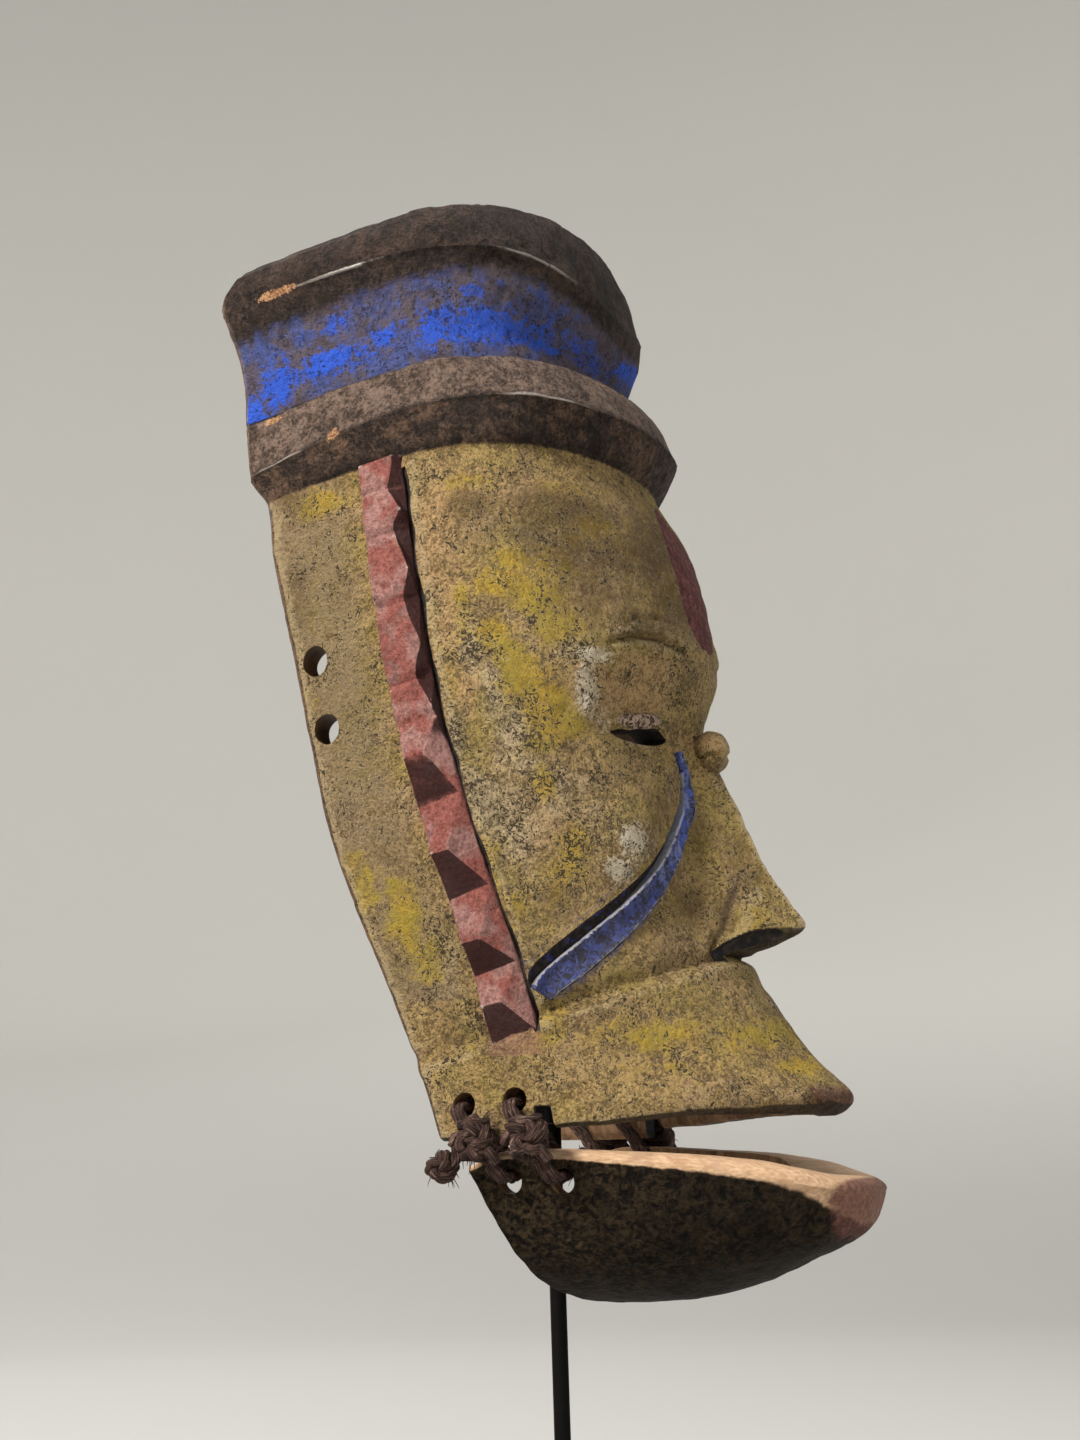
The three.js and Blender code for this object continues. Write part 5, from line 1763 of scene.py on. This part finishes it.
def tie(name, side, ends, settings, seed, with_end_knot):
    """A cord loop through a hole of the mask and one of the jaw, knotted outside."""
    (top_x, top_z), (low_x, low_z) = ends
    radius = settings.diameter / MM / 2
    x = top_x + (low_x - top_x) * KNOT_PLACE
    z = top_z + (low_z - top_z) * KNOT_PLACE
    meshes = []

    def cord(path, thickness, phase):
        meshes.append(laid_cord(path, radius * thickness, seed + phase))

    for turn, (shift, reach) in enumerate(((-0.85, 0.0), (0.85, 0.35))):
        cord(loop_line(ends, side, shift, reach), 0.86, turn)
    knots = [((5.0, 1.8, 5.6), 0.5, 0.0), ((3.9, 2.6, 4.6), 1.8, 0.6), ((4.6, 2.4, 3.4), 2.9, -0.4)]
    for i, (size, turn, shift) in enumerate(knots):
        place = (x + shift, side * (57.4 + 0.5 * i), z - 1.2 * shift)
        cord(knot_path(place, size, turn + 0.7 * seed), 0.92, 3 + i)
    wrap = []
    for t in np.linspace(0, 1, 30):
        angle = t * 5.4 * math.pi
        wrap.append((x - 0.6 + 3.9 * math.cos(angle), side * (57.2 + 2.9 * math.sin(angle)),
                     z + 4.6 - 9.0 * t + 0.8 * math.sin(angle * 0.7)))
    cord(wrap, 0.8, 6)
    for i, tail in enumerate(TAILS):
        cord([(x + dx, side * y, z + dz) for dx, y, dz in tail], 0.95, 7 + i)
    for turn, lift in ((0.4, 1.0), (1.9, 0.2)):
        place = (top_x - 3.3, side * 41.2, top_z + lift)
        cord(knot_path(place, (2.3, 0.9, 3.0), turn + seed), 0.95, 9 + turn)
    meshes.extend(fibres((x, side * 57.6, z), (5.5, 3.4, 6.5), settings.fibres, seed))
    if with_end_knot:
        end_x, end_y, end_z = END_KNOT
        centre = (end_x, side * end_y, end_z)
        cord([(x, side * 57.2, z), (x - 5, side * 58.4, z - 0.5),
              (end_x + 4, side * (end_y + 0.6), end_z + 1.2), centre], 0.95, 10)
        laps = [((3.2, 2.6, 3.2), 1.1, 0.95), ((2.9, 2.4, 3.4), 2.6, 0.9),
                ((2.4, 3.2, 2.4), 0.2, 0.9)]
        for i, (size, turn, thickness) in enumerate(laps):
            cord(knot_path(centre, size, turn), thickness, 11 + i)
        meshes.extend(fibres(centre, (4.4, 4.4, 4.4), settings.fibres // 3, seed + 3))
    return joined(name, meshes, bpy.data.materials["cord_fibre"])


class TieJaw(bpy.types.Operator):
    """Lays the four cord ties that carry the jaw"""

    bl_idname = "mask.tie_jaw"
    bl_label = "Tie jaw"

    def execute(self, context):
        settings = context.scene.lashing_settings
        cord_fibre()
        seed = 0
        for side, side_name in ((-1, "right"), (1, "left")):
            for place, ends in TIES.items():
                seed += 1
                name = f"{side_name}_{place}"
                lashing = tie(f"tie_{name}", side, ends, settings, seed, place == "rear")
                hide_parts(f"lashing_{name}")
                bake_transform(lashing)
        return {"FINISHED"}


# ---------------------------------------------------------------- the stand

ROD_RADIUS = 2.4
ROD_FOOT = 10.3
ROD_TOP = 434.05
FOOT_SIDE = 130
FOOT_HEIGHT = 10
FOOT_CORNER = 3


class BuildStand(bpy.types.Operator):
    """Turns the rod with its weld and bevels the foot"""

    bl_idname = "mask.build_stand"
    bl_label = "Build stand"

    def execute(self, context):
        settings = context.scene.stand_settings
        steel = black_steel()
        weld = [(0, ROD_FOOT), (4.3, ROD_FOOT), (4.25, 10.7), (3.7, 11.3), (3.05, 11.9),
                (2.6, 12.8), (ROD_RADIUS, 14.5)]
        shaft = [(ROD_RADIUS, float(z)) for z in np.linspace(20, 430, 60)]
        tip = [(ROD_RADIUS, ROD_TOP - 0.6), (ROD_RADIUS - 0.18, ROD_TOP - 0.18),
               (ROD_RADIUS - 0.6, ROD_TOP), (0, ROD_TOP)]
        rod = new_object("stand_rod", spun(weld + shaft + tip, 40), [steel], 50)
        bm = bmesh.new()
        bmesh.ops.create_cube(bm, size=1)
        size = Vector((FOOT_SIDE, FOOT_SIDE, FOOT_HEIGHT))
        bmesh.ops.scale(bm, verts=bm.verts[:], vec=size * MM)
        bmesh.ops.translate(bm, verts=bm.verts[:], vec=(0, 0, FOOT_HEIGHT / 2 * MM))
        upright = [e for e in bm.edges if abs(e.verts[0].co.z - e.verts[1].co.z) > 0.001]
        bmesh.ops.bevel(bm, geom=upright, offset=FOOT_CORNER * MM, affect="EDGES", segments=6,
                        profile=0.5, material=-1)
        flat = [e for e in bm.edges if abs(e.verts[0].co.z - e.verts[1].co.z) < 1e-6]
        bmesh.ops.bevel(bm, geom=flat, offset=settings.foot_bevel, affect="EDGES", segments=3,
                        profile=0.5, material=-1)
        foot = new_object("stand_foot", bm, [steel], 30)
        for piece, node in ((rod, "rod"), (foot, "foot")):
            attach(piece, "mask")
            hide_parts(node)
        return {"FINISHED"}


# ---------------------------------------------------------------- the stage

# The floor's flat radius, the radius of its bend up into the wall, and its gap under the foot.
FLOOR_RADIUS = 1700
BEND = 1100
BELOW_FOOT = 0.2
LIT_PLACE = (0, 0, 0.3)
FOCAL_PIXELS = 2333
CAMERA_PLACE = (0.2394, -0.6578, 0.170)
CAMERA_PITCH = math.atan(440 / FOCAL_PIXELS)
CAMERA_ROLL = math.radians(1.8)
SENSOR_WIDTH = 36
PHOTO_HEIGHT = 1440


def photo_camera():
    """A camera at the photograph's viewing angle."""
    right = Vector((math.cos(VIEW_TURN), math.sin(VIEW_TURN), 0))
    level_ahead = Vector((-math.sin(VIEW_TURN), math.cos(VIEW_TURN), 0))
    upward = Vector((0, 0, 1))
    ahead = level_ahead * math.cos(CAMERA_PITCH) + upward * math.sin(CAMERA_PITCH)
    above = upward * math.cos(CAMERA_PITCH) - level_ahead * math.sin(CAMERA_PITCH)
    x_axis = right * math.cos(CAMERA_ROLL) - above * math.sin(CAMERA_ROLL)
    y_axis = right * math.sin(CAMERA_ROLL) + above * math.cos(CAMERA_ROLL)
    data = bpy.data.cameras.new("photo_camera")
    data.lens = SENSOR_WIDTH * FOCAL_PIXELS / PHOTO_HEIGHT
    data.sensor_width = SENSOR_WIDTH
    data.clip_start = 0.02
    data.clip_end = 30
    camera = bpy.data.objects.new("photo_camera", data)
    turned = Matrix((x_axis, y_axis, -ahead)).transposed().to_4x4()
    camera.matrix_world = Matrix.Translation(CAMERA_PLACE) @ turned
    bpy.context.scene.collection.objects.link(camera)
    bpy.context.scene.camera = camera


def area_light(name, place, size, power, colour):
    """A soft round light that the camera doesn't see, turned to the mask's middle."""
    data = bpy.data.lights.new(name, "AREA")
    data.shape = "DISK"
    data.size = size
    data.energy = power
    data.color = colour
    light = bpy.data.objects.new(name, data)
    light.location = place
    aim = Vector(LIT_PLACE) - Vector(place)
    light.rotation_euler = aim.to_track_quat("-Z", "Y").to_euler()
    light.visible_camera = False
    bpy.context.scene.collection.objects.link(light)


class SetStage(bpy.types.Operator):
    """Sets the pale floor that sweeps up into a wall, the soft lights and the camera"""

    bl_idname = "mask.set_stage"
    bl_label = "Set stage"

    def execute(self, context):
        settings = context.scene.stage_settings
        bend = [(FLOOR_RADIUS + BEND * math.sin(turn), BEND - BEND * math.cos(turn))
                for turn in np.linspace(0, math.pi / 2, 15)[1:]]
        far = FLOOR_RADIUS + BEND
        profile = [(0, 0), (1200, 0), (FLOOR_RADIUS, 0), *bend, (far, 1700), (far, 2600)]
        sweep = spun([(radius, height - BELOW_FOOT) for radius, height in profile], 96)
        floor = new_object("floor_sweep", sweep, [pale_wall()], 60)
        key = settings.key_power
        area_light("key_light", (-0.6, -1.2, 1.22), 0.42, key, (1.0, 0.965, 0.92))
        area_light("front_light", (1.6, -0.6, 0.9), 1.0, key * 0.2, (0.96, 0.98, 1.0))
        area_light("back_light", (-1.2, 1.3, 1.4), 1.2, key * 0.4, (1, 1, 1))
        area_light("top_light", (0, 0, 2.4), 1.8, key * 0.45, (1, 1, 1))
        world = bpy.data.worlds.new("studio_air")
        world.use_nodes = True
        air = world.node_tree.nodes["Background"].inputs
        air["Color"].default_value = (1, 1, 1, 1)
        air["Strength"].default_value = settings.fill
        context.scene.world = world
        context.scene.view_settings.view_transform = "Standard"
        photo_camera()
        return {"FINISHED"}


# ---------------------------------------------------------------- the panel


class MaskPanel(bpy.types.Panel):
    """Lists the steps that build the mask"""

    bl_idname = "VIEW3D_PT_carved_mask"
    bl_label = "Carved Mask"
    bl_space_type = "VIEW_3D"
    bl_region_type = "UI"
    bl_category = "Mask"

    def draw(self, context):
        scene = context.scene
        for kind, settings in STEPS:
            self.layout.operator(kind.bl_idname)
            if settings:
                group = getattr(scene, settings)
                for name in group.__annotations__:
                    self.layout.prop(group, name)


SETTINGS = {
    "mask_settings": MaskSettings,
    "lashing_settings": LashingSettings,
    "stand_settings": StandSettings,
    "stage_settings": StageSettings,
}
STEPS = [
    (SetStage, "stage_settings"), (CarveMask, "mask_settings"), (CarveJaw, None),
    (TieJaw, "lashing_settings"), (BuildStand, "stand_settings"),
]


def register():
    """Adds the settings, the operators and the panel."""
    for name, group in SETTINGS.items():
        bpy.utils.register_class(group)
        setattr(bpy.types.Scene, name, PointerProperty(type=group))
    for kind, _ in STEPS:
        bpy.utils.register_class(kind)
    bpy.utils.register_class(MaskPanel)


def unregister():
    """Takes them away again."""
    bpy.utils.unregister_class(MaskPanel)
    for kind, _ in reversed(STEPS):
        bpy.utils.unregister_class(kind)
    for name, group in SETTINGS.items():
        delattr(bpy.types.Scene, name)
        bpy.utils.unregister_class(group)


def main():
    """Builds the whole mask and its stage, each with its own operator."""
    register()
    noise.seed_set(NOISE_SEED)
    bpy.ops.mask.set_stage()
    bpy.ops.mask.carve_mask()
    bpy.ops.mask.carve_jaw()
    bpy.ops.mask.tie_jaw()
    bpy.ops.mask.build_stand()


if __name__ == "__main__":
    main()
